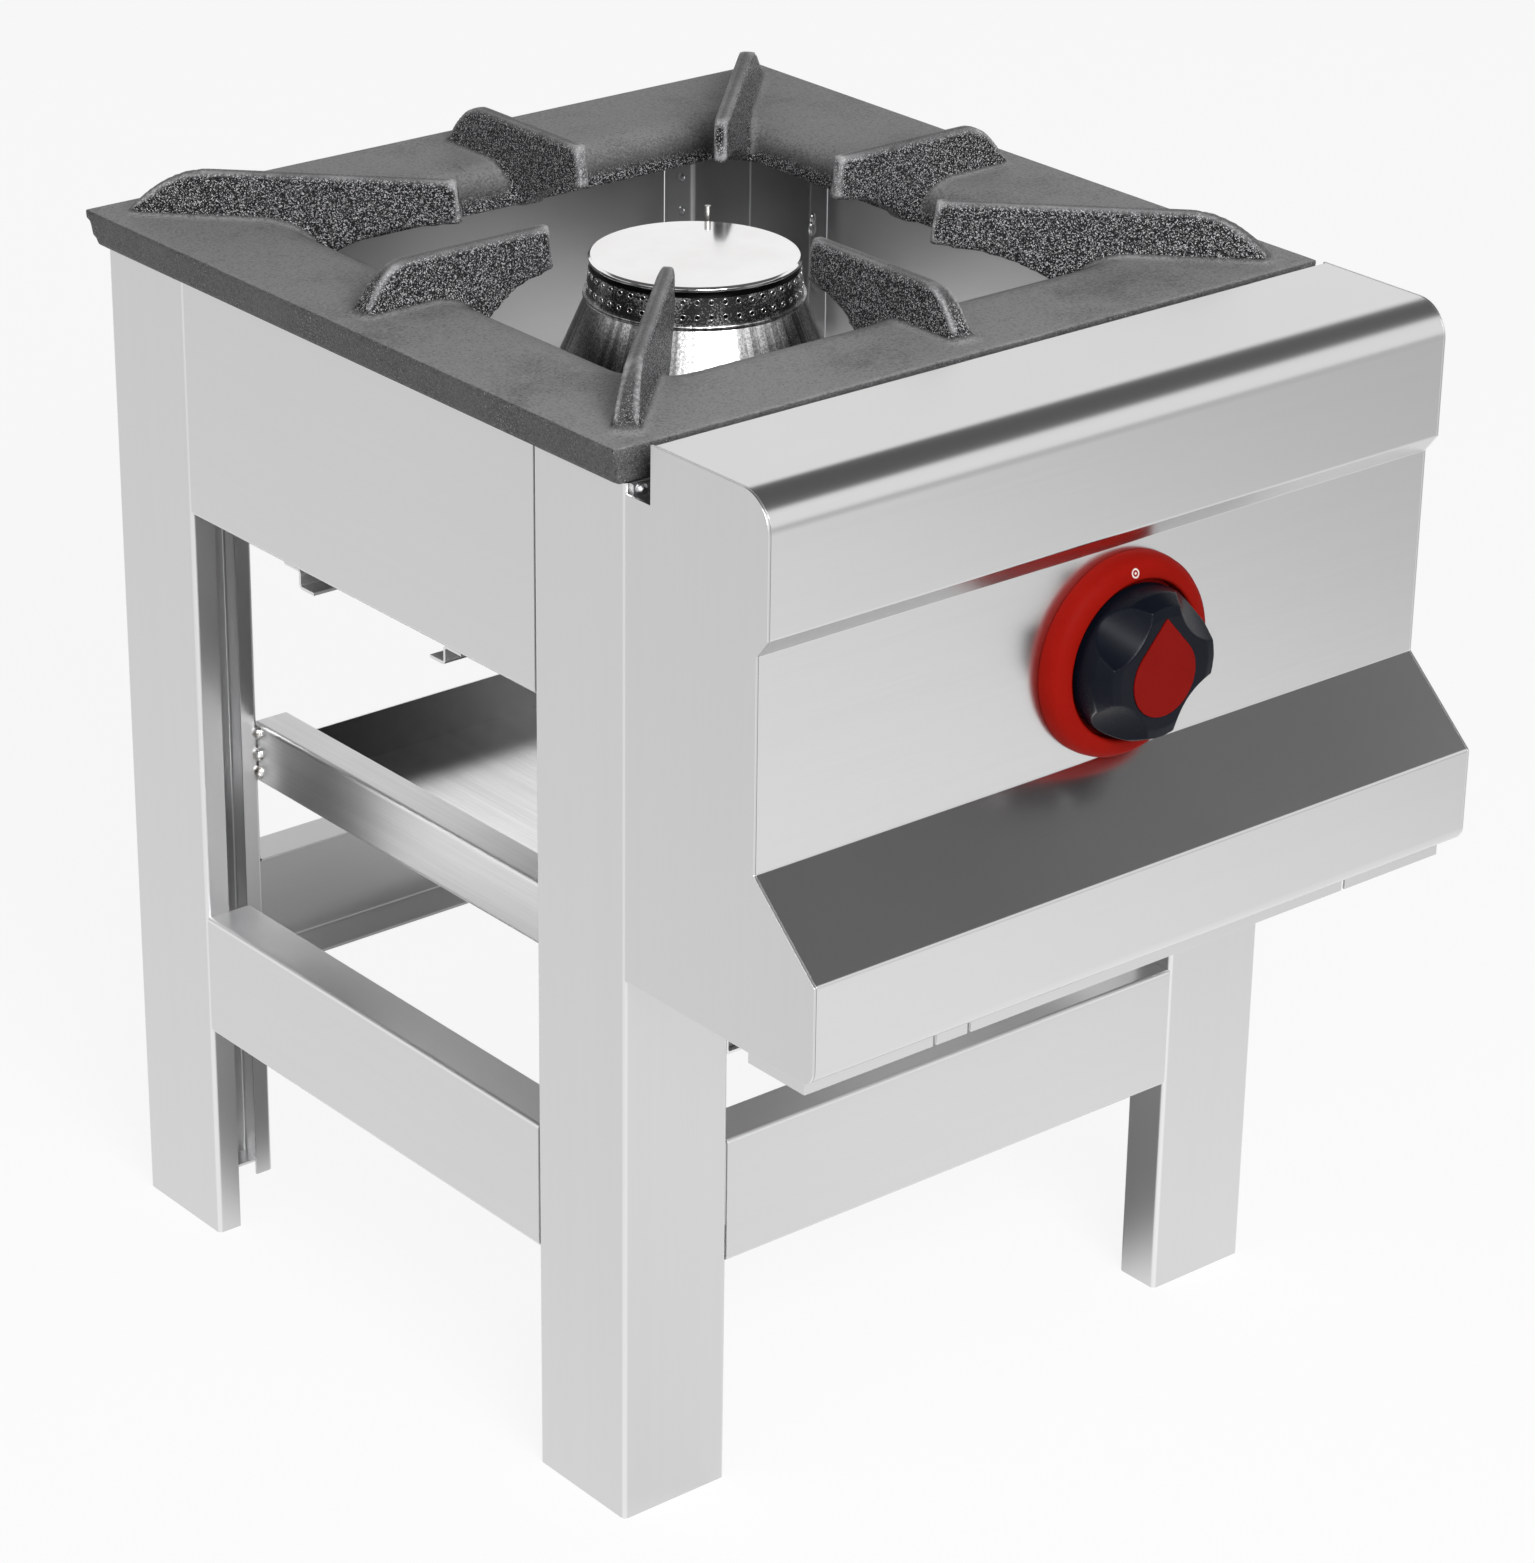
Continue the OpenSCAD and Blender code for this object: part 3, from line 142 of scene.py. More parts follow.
def noise(tree, place, scale, detail, roughness=0.5):
    """Noise from 0 to 1, mostly near a half, with about scale waves to a metre."""
    made = put(tree, "ShaderNodeTexNoise",
               {"Vector": place, "Scale": scale, "Detail": detail, "Roughness": roughness})
    return made.outputs["Fac"]


def scaled(colour, factor):
    return tuple(factor * part for part in colour)


def grey(value):
    return (value, value, value)


# Shader groups that several finishes share

FLOAT, VECTOR = "NodeSocketFloat", "NodeSocketVector"


def make_brushed_grain():
    """Fine parallel scratches along the long axis of a stretched coordinate."""
    wide_scale, wide_share = 0.16, 0.6
    group, given, out = shader_group(
        "brushed_grain", [("Vector", VECTOR, None), ("Fineness", FLOAT, 900.0)],
        [("Height", FLOAT, None), ("Tone", FLOAT, None)])
    place, fineness = given.outputs["Vector"], given.outputs["Fineness"]
    fine = noise(group, place, fineness, detail=4.0, roughness=0.7)
    wide = noise(group, place, math_node(group, "MULTIPLY", fineness, wide_scale), detail=2.0)
    both = math_node(group, "MULTIPLY_ADD", wide, wide_share, fine)
    group.links.new(both, out.inputs["Height"])
    group.links.new(remap(group, both, 0.6, 1.0), out.inputs["Tone"])
    return group


def make_handling_marks():
    """Soft smears and faint wiping marks, as a mask from 0 to 1."""
    group, given, out = shader_group(
        "handling_marks", [("Vector", VECTOR, None), ("Scale", FLOAT, 6.0)],
        [("Mask", FLOAT, None)])
    smears = noise(group, given.outputs["Vector"], given.outputs["Scale"], detail=4.0)
    group.links.new(remap(group, smears, 0.30, 0.75), out.inputs["Mask"])
    return group


def make_footprint():
    """Distance outside the plan of the stand's legs; negative inside."""
    group, given, out = shader_group(
        "stand_footprint", [("Vector", VECTOR, None)], [("Distance", FLOAT, None)])
    low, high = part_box("leg_front_left")[0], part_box("leg_rear_right")[1]
    middle, half = (low + high) / 2, (high - low) / 2
    shifted = vector_math(group, "SUBTRACT", given.outputs["Vector"], (middle.x, middle.y, 0))
    size = split(group, vector_math(group, "ABSOLUTE", shifted))
    past = [math_node(group, "SUBTRACT", size[axis], reach)
            for axis, reach in (("X", half.x), ("Y", half.y))]
    group.links.new(math_node(group, "MAXIMUM", past[0], past[1]), out.inputs["Distance"])
    return group


def make_bend_mask():
    """A mask for painted highlights: high on the folds of a sheet, where no axis lies along the
    normal.
    """
    group, given, out = shader_group(
        "bend_mask", [("Start", FLOAT, 0.995), ("Full", FLOAT, 0.90)], [("Mask", FLOAT, None)])
    normal = put(group, "ShaderNodeNewGeometry").outputs["Normal"]
    size = split(group, vector_math(group, "ABSOLUTE", normal))
    larger = math_node(group, "MAXIMUM", size["X"], size["Y"])
    largest = math_node(group, "MAXIMUM", larger, size["Z"])
    mask = remap(group, largest, given.outputs["Start"], given.outputs["Full"])
    group.links.new(mask, out.inputs["Mask"])
    return group


def make_cast_skin():
    """The sandy skin of a casting: grains, pits and slow waves, as a height and a mask."""
    wave_share, pit_depth = 1.4, 0.35
    group, given, out = shader_group(
        "cast_skin", [("Vector", VECTOR, None), ("Grain", FLOAT, 700.0)],
        [("Height", FLOAT, None), ("Pits", FLOAT, None)])
    place = given.outputs["Vector"]
    grain = noise(group, place, given.outputs["Grain"], detail=5.0, roughness=0.72)
    wave = noise(group, place, 60.0, detail=3.0)
    pits = put(group, "ShaderNodeTexVoronoi", {"Vector": place, "Scale": 420.0})
    between = remap(group, pits.outputs["Distance"], 0.05, 0.32)
    height = math_node(group, "MULTIPLY_ADD", wave, wave_share, grain)
    total = math_node(group, "MULTIPLY_ADD", between, pit_depth, height)
    group.links.new(total, out.inputs["Height"])
    group.links.new(between, out.inputs["Pits"])
    return group


BRUSHED_GRAIN = make_brushed_grain()
HANDLING_MARKS = make_handling_marks()
CAST_SKIN = make_cast_skin()
BEND_MASK = make_bend_mask()
FOOTPRINT = make_footprint()


def outside_stand(tree, place):
    return use(tree, FOOTPRINT, {"Vector": place}).outputs["Distance"]


def handling(tree, place, scale):
    return use(tree, HANDLING_MARKS, {"Vector": place, "Scale": scale}).outputs["Mask"]


def new_material(name, metallic, colour):
    """An empty material: its tree, its shader and its object coordinates."""
    made = bpy.data.materials.new(name)
    made.use_nodes = True
    tree = made.node_tree
    tree.nodes.clear()
    shader = put(tree, "ShaderNodeBsdfPrincipled",
                 {"Metallic": metallic, "Base Color": (*colour, 1)})
    end = put(tree, "ShaderNodeOutputMaterial")
    tree.links.new(shader.outputs["BSDF"], end.inputs["Surface"])
    place = put(tree, "ShaderNodeTexCoord").outputs["Object"]
    made.diffuse_color = (*colour, 1)
    return made, tree, shader, place


def colour_with(tree, shader, tone):
    tree.links.new(tone, shader.inputs["Base Color"])


def roughen(tree, shader, mask, low, high):
    """Roughness from low to high with a mask."""
    tree.links.new(remap(tree, mask, low=low, high=high), shader.inputs["Roughness"])


def bump(tree, shader, height, strength, distance):
    made = put(tree, "ShaderNodeBump",
               {"Height": height, "Strength": strength, "Distance": distance})
    tree.links.new(made.outputs["Normal"], shader.inputs["Normal"])


# Finishes

SCRATCH_DEPTH = 0.02 * MM
# Painted shade colours: inside the stand, and on upright walls
INNER_SHADE = (0.05, 0.05, 0.052)
WALL_SHADE = (0.04, 0.04, 0.042)
# Painted highlight colour on the bends of sheets
BEND_HIGHLIGHT = grey(0.97)
WELL_SHADE_HEIGHTS = (0.36, 0.44)  # heights between which the painted shade inside the stand gets stronger
WELL_SHADE = (0.04, 0.22)  # its strength below and above them
SMEAR_SHARE, SMEAR_TONE = 0.5, 0.98


def steel_sheet(name, colour, roughness, stretch, grain_strength=0.03, marks=0.02, bright=0.45,
                contrast=0.02, shaded_walls=0.0):
    """Stainless sheet, brushed along the axis that its coordinate is squeezed on, with painted
    shade inside the stand and painted highlights on its bends.
    """
    made, tree, shader, place = new_material(name, 1.0, colour)
    squeezed = put(tree, "ShaderNodeMapping", {"Vector": place, "Scale": stretch})
    grain = use(tree, BRUSHED_GRAIN, {"Vector": squeezed.outputs["Vector"]})
    smears = handling(tree, place, scale=6.0)
    tone = mix(tree, grain.outputs["Tone"], scaled(colour, 1 - contrast), colour)
    faint = math_node(tree, "MULTIPLY", smears, SMEAR_SHARE)
    tone = mix(tree, faint, tone, scaled(colour, SMEAR_TONE))
    # Painted shade: faces inside the stand are darker, most of all in the well round the burner
    inside_shade = remap(tree, outside_stand(tree, place), -0.7 * MM, -1.0 * MM)
    soot_and_shade = remap(tree, split(tree, place)["Z"], *WELL_SHADE_HEIGHTS, *WELL_SHADE)
    tone = mix(tree, math_node(tree, "MULTIPLY", inside_shade, soot_and_shade), tone, INNER_SHADE)
    # Painted shade: upright walls darker than the level faces
    if shaded_walls > 0:
        normal = put(tree, "ShaderNodeNewGeometry").outputs["Normal"]
        level = math_node(tree, "ABSOLUTE", split(tree, normal)["Z"])
        tone = mix(tree, remap(tree, level, 0.5, 0.2, high=shaded_walls), tone, WALL_SHADE)
    # Painted highlights on the bends
    if bright > 0:
        wear_and_sheen = math_node(tree, "MULTIPLY", use(tree, BEND_MASK, {}).outputs["Mask"], bright)
        tone = mix(tree, wear_and_sheen, tone, BEND_HIGHLIGHT)
    colour_with(tree, shader, tone)
    roughen(tree, shader, smears, roughness, roughness + marks)
    bump(tree, shader, grain.outputs["Height"], grain_strength, SCRATCH_DEPTH)
    return made


def mirror_steel(name, roughness, stain):
    """Polished steel of the burner's cap, with hairlines and stains."""
    made, tree, shader, place = new_material(name, 1.0, (0.86, 0.86, 0.87))
    smears = handling(tree, place, scale=22.0)
    roughen(tree, shader, smears, roughness, roughness + 0.08)
    colour_with(tree, shader, mix(tree, smears, (0.88, 0.88, 0.89), stain))
    hairlines = noise(tree, place, 900.0, detail=3.0)
    bump(tree, shader, hairlines, strength=0.05, distance=SCRATCH_DEPTH)
    return made


def sooty_steel(name, shade_from):
    """Steel of the flame ring: bright grains through a film of soot, with painted shade in its
    neck under the cap.
    """
    film_share = 0.8
    made, tree, shader, place = new_material(name, 1.0, grey(0.2))
    grains = noise(tree, place, 1100.0, detail=4.0, roughness=0.75)
    soot_and_shade = noise(tree, place, 38.0, detail=2.0)
    bare = math_node(tree, "MULTIPLY_ADD", soot_and_shade, film_share, grains)
    tone = ramp(tree, bare, [(0.0, 0.05), (0.90, 0.09), (1.0, 0.95)])
    # Painted shade: black in the neck, under the cap
    neck_shade = remap(tree, split(tree, place)["Z"], shade_from - 0.1 * MM, shade_from)
    colour_with(tree, shader, mix(tree, neck_shade, tone, grey(0.02)))
    shader.inputs["Roughness"].default_value = 0.3
    bump(tree, shader, grains, strength=0.5, distance=0.15 * MM)
    return made


# Painted reflections: bright and dark streaks down the cone, by the angle round its axis
CONE_REFLECTION_STREAKS = [(0.34, 0.30), (0.42, 0.62), (0.47, 0.78), (0.50, 0.74), (0.53, 0.42),
                (0.62, 0.34), (0.66, 0.62)]
CONE_TURN = 2.6  # radians: brings the bright streaks to where the photo has them


def cone_steel():
    """Spun and polished cone: fine rings, painted reflection streaks down its side and fine pits.
    """
    pitting = 0.75
    made, tree, shader, place = new_material("spun_steel", 1.0, (0.86, 0.85, 0.83))
    rings = put(tree, "ShaderNodeMapping", {"Vector": place, "Scale": (0.02, 0.02, 1.0)})
    grain = use(tree, BRUSHED_GRAIN, {"Vector": rings.outputs["Vector"], "Fineness": 1600.0})
    low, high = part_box("burner_cone")
    axis = (low + high) / 2
    from_axis = split(tree, vector_math(tree, "SUBTRACT", place, (axis.x, axis.y, 0)))
    front = math_node(tree, "MULTIPLY", from_axis["Y"], -1.0)
    angle = math_node(tree, "ARCTAN2", from_axis["X"], front)
    # Painted reflections, by the angle round the cone's axis
    reflection_streak = put(tree, "ShaderNodeTexNoise",
                 {"W": math_node(tree, "ADD", angle, CONE_TURN), "Scale": 3.2, "Detail": 5.0,
                  "Roughness": 0.62}, noise_dimensions="1D")
    tone = ramp(tree, reflection_streak.outputs["Fac"], CONE_REFLECTION_STREAKS)
    grit = noise(tree, place, 800.0, detail=4.0, roughness=0.8)
    pitted = mix(tree, 1.0, tone, ramp(tree, grit, [(0.43, 0.25), (0.57, 0.95)]), "MULTIPLY")
    colour_with(tree, shader, mix(tree, pitting, tone, pitted))
    roughen(tree, shader, handling(tree, place, scale=16.0), low=0.20, high=0.38)
    lay = put(tree, "ShaderNodeTangent", direction_type="RADIAL", axis="Z")
    tree.links.new(lay.outputs["Tangent"], shader.inputs["Tangent"])
    shader.inputs["Anisotropic"].default_value = 0.6
    bump(tree, shader, grain.outputs["Height"], strength=0.12, distance=SCRATCH_DEPTH)
    return made


# Colours of the iron's painted glints, and of its worn edges with painted highlights
GLINT = (0.62, 0.62, 0.63)
WORN_EDGE_HIGHLIGHT = (0.66, 0.66, 0.67)
PIT_TONE = 0.6  # of the iron's darker tone


def skin_wear_and_sheen(tree, place, level, cloud):
    """Where level skin is lightened, by wear and by painted top light: in clouds, and broken up
    by sandy grains.
    """
    patchy = remap(tree, cloud, 0.3, 0.7, low=0.62, high=1.34)
    wear_and_sheen = math_node(tree, "MULTIPLY", level, patchy, clamp=True)
    sand = noise(tree, place, 750.0, detail=3.0, roughness=0.7)
    sandy = remap(tree, sand, 0.3, 0.7, low=0.5, high=1.46)
    return math_node(tree, "MULTIPLY", wear_and_sheen, sandy, clamp=True)


def painted_glints(tree, place, wear_and_sheen):
    """Painted glints: grain facets given a bright colour, on the skin that isn't lightened."""
    rarity = 2.6
    facets = put(tree, "ShaderNodeTexVoronoi", {"Vector": place, "Scale": 2200.0})
    chance = put(tree, "ShaderNodeSeparateColor", {"Color": facets.outputs["Color"]})
    bright = remap(tree, chance.outputs["Red"], 0.45, 1.0, high=1.05)
    rare = math_node(tree, "POWER", bright, rarity)
    bare_skin = remap(tree, wear_and_sheen, end=0.3, low=1.0, high=0.12)
    return math_node(tree, "MULTIPLY", rare, bare_skin)


def cast_iron(name, dark, light, band_z=None):
    """Rough grey iron: painted glints, level skin lightened by wear and painted light, painted
    edge highlights on wear.

    Above the height band_z, on the fins, the level faces are less lightened; the worn edges with
    painted highlights are only there, and the skin outside the stand's plan is partly lightened.
    """
    made, tree, shader, place = new_material(name, 0.0, dark)
    skin = use(tree, CAST_SKIN, {"Vector": place})
    surface = put(tree, "ShaderNodeNewGeometry")
    level = remap(tree, split(tree, surface.outputs["Normal"])["Z"], 0.55, 0.97)
    edge = remap(tree, surface.outputs["Pointiness"], 0.519, 0.548)
    if band_z is not None:
        raised = remap(tree, split(tree, place)["Z"], band_z + 1 * MM, band_z + 4 * MM)
        less_above = math_node(tree, "MULTIPLY_ADD", raised, -0.6, 1.0)
        outer = remap(tree, outside_stand(tree, place), -2 * MM, 2 * MM, high=0.3)
        level = math_node(tree, "MULTIPLY", level, less_above)
        level = math_node(tree, "MAXIMUM", level, outer)
        edge = math_node(tree, "MULTIPLY", edge, raised)
    cloud = noise(tree, place, 18.0, detail=7.0, roughness=0.66)
    # Level faces lighter: partly wear, partly painted light from above
    wear_and_sheen = skin_wear_and_sheen(tree, place, level, cloud)
    filled = math_node(tree, "MAXIMUM", skin.outputs["Pits"], remap(tree, wear_and_sheen, end=0.4))
    tone = mix(tree, filled, scaled(dark, PIT_TONE), mix(tree, wear_and_sheen, dark, light))
    # Painted glints
    tone = mix(tree, painted_glints(tree, place, wear_and_sheen), tone, GLINT)
    # Worn edges with painted highlights, broken up in clouds
    edge_breakup = remap(tree, cloud, 0.35, 0.62, low=0.15, high=0.75)
    tone = mix(tree, math_node(tree, "MULTIPLY", edge, edge_breakup), tone, WORN_EDGE_HIGHLIGHT)
    colour_with(tree, shader, tone)
    roughen(tree, shader, wear_and_sheen, low=0.38, high=0.55)
    shader.inputs["Specular IOR Level"].default_value = 0.15
    relief = remap(tree, wear_and_sheen, low=1.0, high=0.35)
    bump(tree, shader, skin.outputs["Height"], relief, distance=0.9 * MM)
    return made


def satin_metal(name, colour, roughness):
    """Turned or drawn metal of the fittings, with slight staining."""
    made, tree, shader, place = new_material(name, 1.0, colour)
    grain = use(tree, BRUSHED_GRAIN, {"Vector": place, "Fineness": 700.0})
    stain = handling(tree, place, scale=40.0)
    colour_with(tree, shader, mix(tree, stain, colour, scaled(colour, 0.72)))
    roughen(tree, shader, stain, roughness, roughness + 0.18)
    bump(tree, shader, grain.outputs["Height"], strength=0.15, distance=0.03 * MM)
    return made


PRINT_WHITE = (0.75, 0.72, 0.70)


def moulded(name, colour, roughness, gloss, rings=()):
    """Moulded plastic with a faint orange peel, fine dust and printed rings."""
    made, tree, shader, place = new_material(name, 0.0, colour)
    touch = handling(tree, place, scale=55.0)
    dusty = tuple(min(1.0, part * 1.08 + 0.001) for part in colour)
    tone = mix(tree, touch, colour, dusty)
    for (x, z), radius in rings:
        flat = vector_math(tree, "MULTIPLY", place, (1, 0, 1))
        away = vector_math(tree, "DISTANCE", flat, (x, 0, z), "Value")
        off = math_node(tree, "ABSOLUTE", math_node(tree, "SUBTRACT", away, radius))
        printed = remap(tree, off, 0.45 * MM, 0.25 * MM, high=0.8)
        tone = mix(tree, printed, tone, PRINT_WHITE)
    colour_with(tree, shader, tone)
    roughen(tree, shader, touch, roughness, roughness + 0.08)
    shader.inputs["Specular IOR Level"].default_value = gloss
    orange_peel = noise(tree, place, 260.0, detail=2.0)
    bump(tree, shader, orange_peel, strength=0.08, distance=0.05 * MM)
    return made


HEAT_TINT = [(0.30, (0.25, 0.24, 0.25)), (0.40, (0.66, 0.62, 0.56)),
             (0.48, (0.90, 0.89, 0.88)), (0.70, (0.96, 0.96, 0.97))]


def weld_metal():
    """Bright weld bead: ripples, patches of soot and a straw heat tint."""
    made, tree, shader, place = new_material("weld_bead", 1.0, (0.75, 0.73, 0.70))
    colour_with(tree, shader, ramp(tree, noise(tree, place, 260.0, detail=3.0), HEAT_TINT))
    shader.inputs["Roughness"].default_value = 0.26
    ripples = noise(tree, place, 700.0, detail=3.0)
    bump(tree, shader, ripples, strength=0.8, distance=0.5 * MM)
    return made


SHEET_COLOUR, SHEET_ROUGHNESS = (0.66, 0.66, 0.663), 0.34
SQUEEZE = 0.012  # of the coordinate along the brushing
UPRIGHT, ACROSS, ALONG = (1.0, 1.0, SQUEEZE), (SQUEEZE, 1.0, 1.0), (1.0, SQUEEZE, 1.0)
NECK_DEPTH = 1.7 * MM  # the flame ring's neck, under the cap, which is painted with shade
BAND_DEPTH = 22 * MM  # from the fins' tops down to the band
FLAME_MARK_LEFT, FLAME_MARK_RISE = 2 * MM, 41.5 * MM  # from the knob's axis
FLAME_MARK_RADII = (0.2 * MM, 1.8 * MM)

upright_sheet, cross_sheet, long_sheet = [
    steel_sheet("brushed_sheet_" + way, SHEET_COLOUR, SHEET_ROUGHNESS, stretch)
    for way, stretch in (("upright", UPRIGHT), ("across", ACROSS), ("along", ALONG))]
panel_sheet = steel_sheet("panel_sheet", grey(0.68), 0.22, ACROSS, grain_strength=0.02, bright=0)
cheek_sheet = steel_sheet("cheek_sheet", grey(0.64), 0.28, UPRIGHT, grain_strength=0.02)
dull_sheet = steel_sheet("mill_sheet", grey(0.86), 0.32, ALONG, grain_strength=0.15, marks=0.12,
                         contrast=0.14)
tray_sheet = steel_sheet("tray_sheet", grey(0.88), 0.2, ALONG, grain_strength=0.2, marks=0.12,
                         contrast=0.16, shaded_walls=0.75)
polished = mirror_steel("polished_steel", 0.05, stain=(0.80, 0.79, 0.78))
ring_steel = sooty_steel("ring_steel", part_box("flame_ring")[1].z - NECK_DEPTH)
rim_steel = mirror_steel("rim_steel", 0.12, stain=(0.70, 0.69, 0.68))
spun = cone_steel()
grid_iron = cast_iron("grid_iron", dark=(0.008, 0.008, 0.009), light=grey(0.28),
                      band_z=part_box("pan_support")[1].z - BAND_DEPTH)
base_iron = cast_iron("base_iron", dark=grey(0.06), light=grey(0.12))
brass = satin_metal("turned_brass", (0.55, 0.38, 0.15), 0.3)
zinc = satin_metal("zinc_plate", (0.60, 0.61, 0.62), 0.28)
drawn = satin_metal("drawn_tube", (0.56, 0.55, 0.53), 0.24)
bezel_low, bezel_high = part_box("knob_bezel")
knob_x, knob_z = (bezel_low.x + bezel_high.x) / 2, (bezel_low.z + bezel_high.z) / 2
mark_place = (knob_x - FLAME_MARK_LEFT, knob_z + FLAME_MARK_RISE)
bezel_plastic = moulded("red_moulding", (0.225, 0.0045, 0.0018), 0.55, gloss=0.04,
                        rings=[(mark_place, radius) for radius in FLAME_MARK_RADII])
insert_plastic = moulded("red_inlay", (0.165, 0.0035, 0.002), 0.5, gloss=0.05)
knob_plastic = moulded("black_moulding", (0.003, 0.004, 0.008), 0.24, gloss=0.10)
weld_bead = weld_metal()


# Pieces made from the CAD nodes: merged, with softened edges and smooth bends

SMOOTH_BELOW = 32  # degrees between two faces that shade as one
ROUND_SMOOTH_BELOW = 80  # the same for wire rims and rounded heads


def smooth_bends(mesh, angle):
    mesh.polygons.foreach_set("use_smooth", [True] * len(mesh.polygons))
    mesh.set_sharp_from_angle(angle=math.radians(angle))


def applied(obj):
    """Bakes an object's modifiers into its mesh."""
    graph = bpy.context.evaluated_depsgraph_get()
    mesh = bpy.data.meshes.new_from_object(obj.evaluated_get(graph))
    mesh.name = obj.name
    obj.modifiers.clear()
    old = obj.data
    obj.data = mesh
    bpy.data.meshes.remove(old)


def new_piece(name, mesh):
    made = bpy.data.objects.new(name, mesh)
    bpy.context.scene.collection.objects.link(made)
    return made


def merged_copy(node):
    """A copy of a CAD node's mesh with its corners merged and its flat faces joined."""
    mesh = frame["nodes"][node].data.copy()
    work = bmesh.new()
    work.from_mesh(mesh)
    bmesh.ops.remove_doubles(work, verts=work.verts, dist=0.002 * MM)
    bmesh.ops.dissolve_limit(work, angle_limit=math.radians(0.6), verts=work.verts,
                             edges=work.edges)
    work.to_mesh(mesh)
    work.free()
    mesh.materials.clear()
    if "custom_normal" in mesh.attributes:
        mesh.attributes.remove(mesh.attributes["custom_normal"])
    return mesh


def hand_over(obj, material, node, body=None):
    """Gives a finished piece its material and the body that it moves with."""
    obj.data.materials.clear()
    obj.data.materials.append(material)
    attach(obj, body or BODY_OF[node])


def finish_node(node, material, edge=0.3 * MM, segments=2, edge_angle=35, body=None):
    """A node's own shape with rounded edges."""
    obj = new_piece(node + "_finish", merged_copy(node))
    if edge > 0:
        bevel = obj.modifiers.new("edges", "BEVEL")
        bevel.width = edge
        bevel.segments = segments
        bevel.limit_method = "ANGLE"
        bevel.angle_limit = math.radians(edge_angle)
        applied(obj)
    smooth_bends(obj.data, SMOOTH_BELOW)
    flat = obj.modifiers.new("flat faces", "WEIGHTED_NORMAL")
    flat.mode = "FACE_AREA"
    flat.weight = 100
    flat.keep_sharp = True
    applied(obj)
    hand_over(obj, material, node, body)
    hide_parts(node)
    return obj


def rounded_node(node, material, grain, rounds):
    """A node's shape with soft corners and fillets, from a fine even mesh."""
    obj = new_piece(node + "_finish", merged_copy(node))
    even = obj.modifiers.new("even mesh", "REMESH")
    even.mode = "VOXEL"
    even.voxel_size = grain
    even.use_smooth_shade = True
    soft = obj.modifiers.new("soft corners", "SMOOTH")
    soft.factor = 0.5
    soft.iterations = rounds
    applied(obj)
    obj.data.polygons.foreach_set("use_smooth", [True] * len(obj.data.polygons))
    hand_over(obj, material, node)
    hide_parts(node)


for side in ("left", "right"):
    for end in ("front", "rear"):
        finish_node("leg_" + end + "_" + side, upright_sheet)
    finish_node("apron_" + side, long_sheet)
    finish_node("stretcher_" + side, long_sheet)
    finish_node("tray_runner_" + side, dull_sheet)
    finish_node("panel_cheek_" + side, cheek_sheet, edge=0.4 * MM)
for node in ("apron_rear", "stretcher_front", "stretcher_rear"):
    finish_node(node, cross_sheet)
for node in ("front_rail", "burner_rail_front", "burner_rail_rear", "probe_bracket",
             "panel_hangers"):
    finish_node(node, dull_sheet)
finish_node("control_panel", panel_sheet, edge_angle=50)
finish_node("panel_bottom_cover", cross_sheet)
finish_node("drip_tray", tray_sheet, edge=0.25 * MM)
finish_node("runner_welds", weld_bead, edge=0)
rounded_node("pan_support", grid_iron, grain=2.0 * MM, rounds=2)
finish_node("burner_base", base_iron, edge=0.6 * MM)
finish_node("burner_cone", spun, edge=0)
finish_node("flame_ring", ring_steel, edge=0.15 * MM, segments=1)
finish_node("burner_cap", polished, edge=0.2 * MM)
finish_node("flame_probe", drawn, edge=0)
finish_node("burner_pipe", drawn, edge=0)
for node in ("injector", "pipe_nuts", "gas_valve", "valve_bonnet", "valve_plug", "gas_inlet"):
    finish_node(node, brass)
for node in ("air_shutter", "supply_pipe", "pipe_locknut", "base_screws", "panel_screws",
             "valve_screws", "valve_stem"):
    finish_node(node, zinc, edge=0.25 * MM)
spring = finish_node("stem_spring", zinc, edge=0, body="valve_rotor")
finish_node("knob_bezel", bezel_plastic, edge=0.5 * MM, edge_angle=40)
rounded_node("control_knob", knob_plastic, grain=0.5 * MM, rounds=5)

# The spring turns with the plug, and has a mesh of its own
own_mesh(spring)
finish_node("knob_insert", insert_plastic)


# Details that only the looks carry

PORTS_IN_A_ROW = 48
PORT_ROWS = (("Low", 0.27), ("High", 0.74))  # shares of the flame ring's height
RING_TAPER = 1.4 * MM
RING_SHOULDER = 1.6 * MM  # the upright top of the ring, above its taper


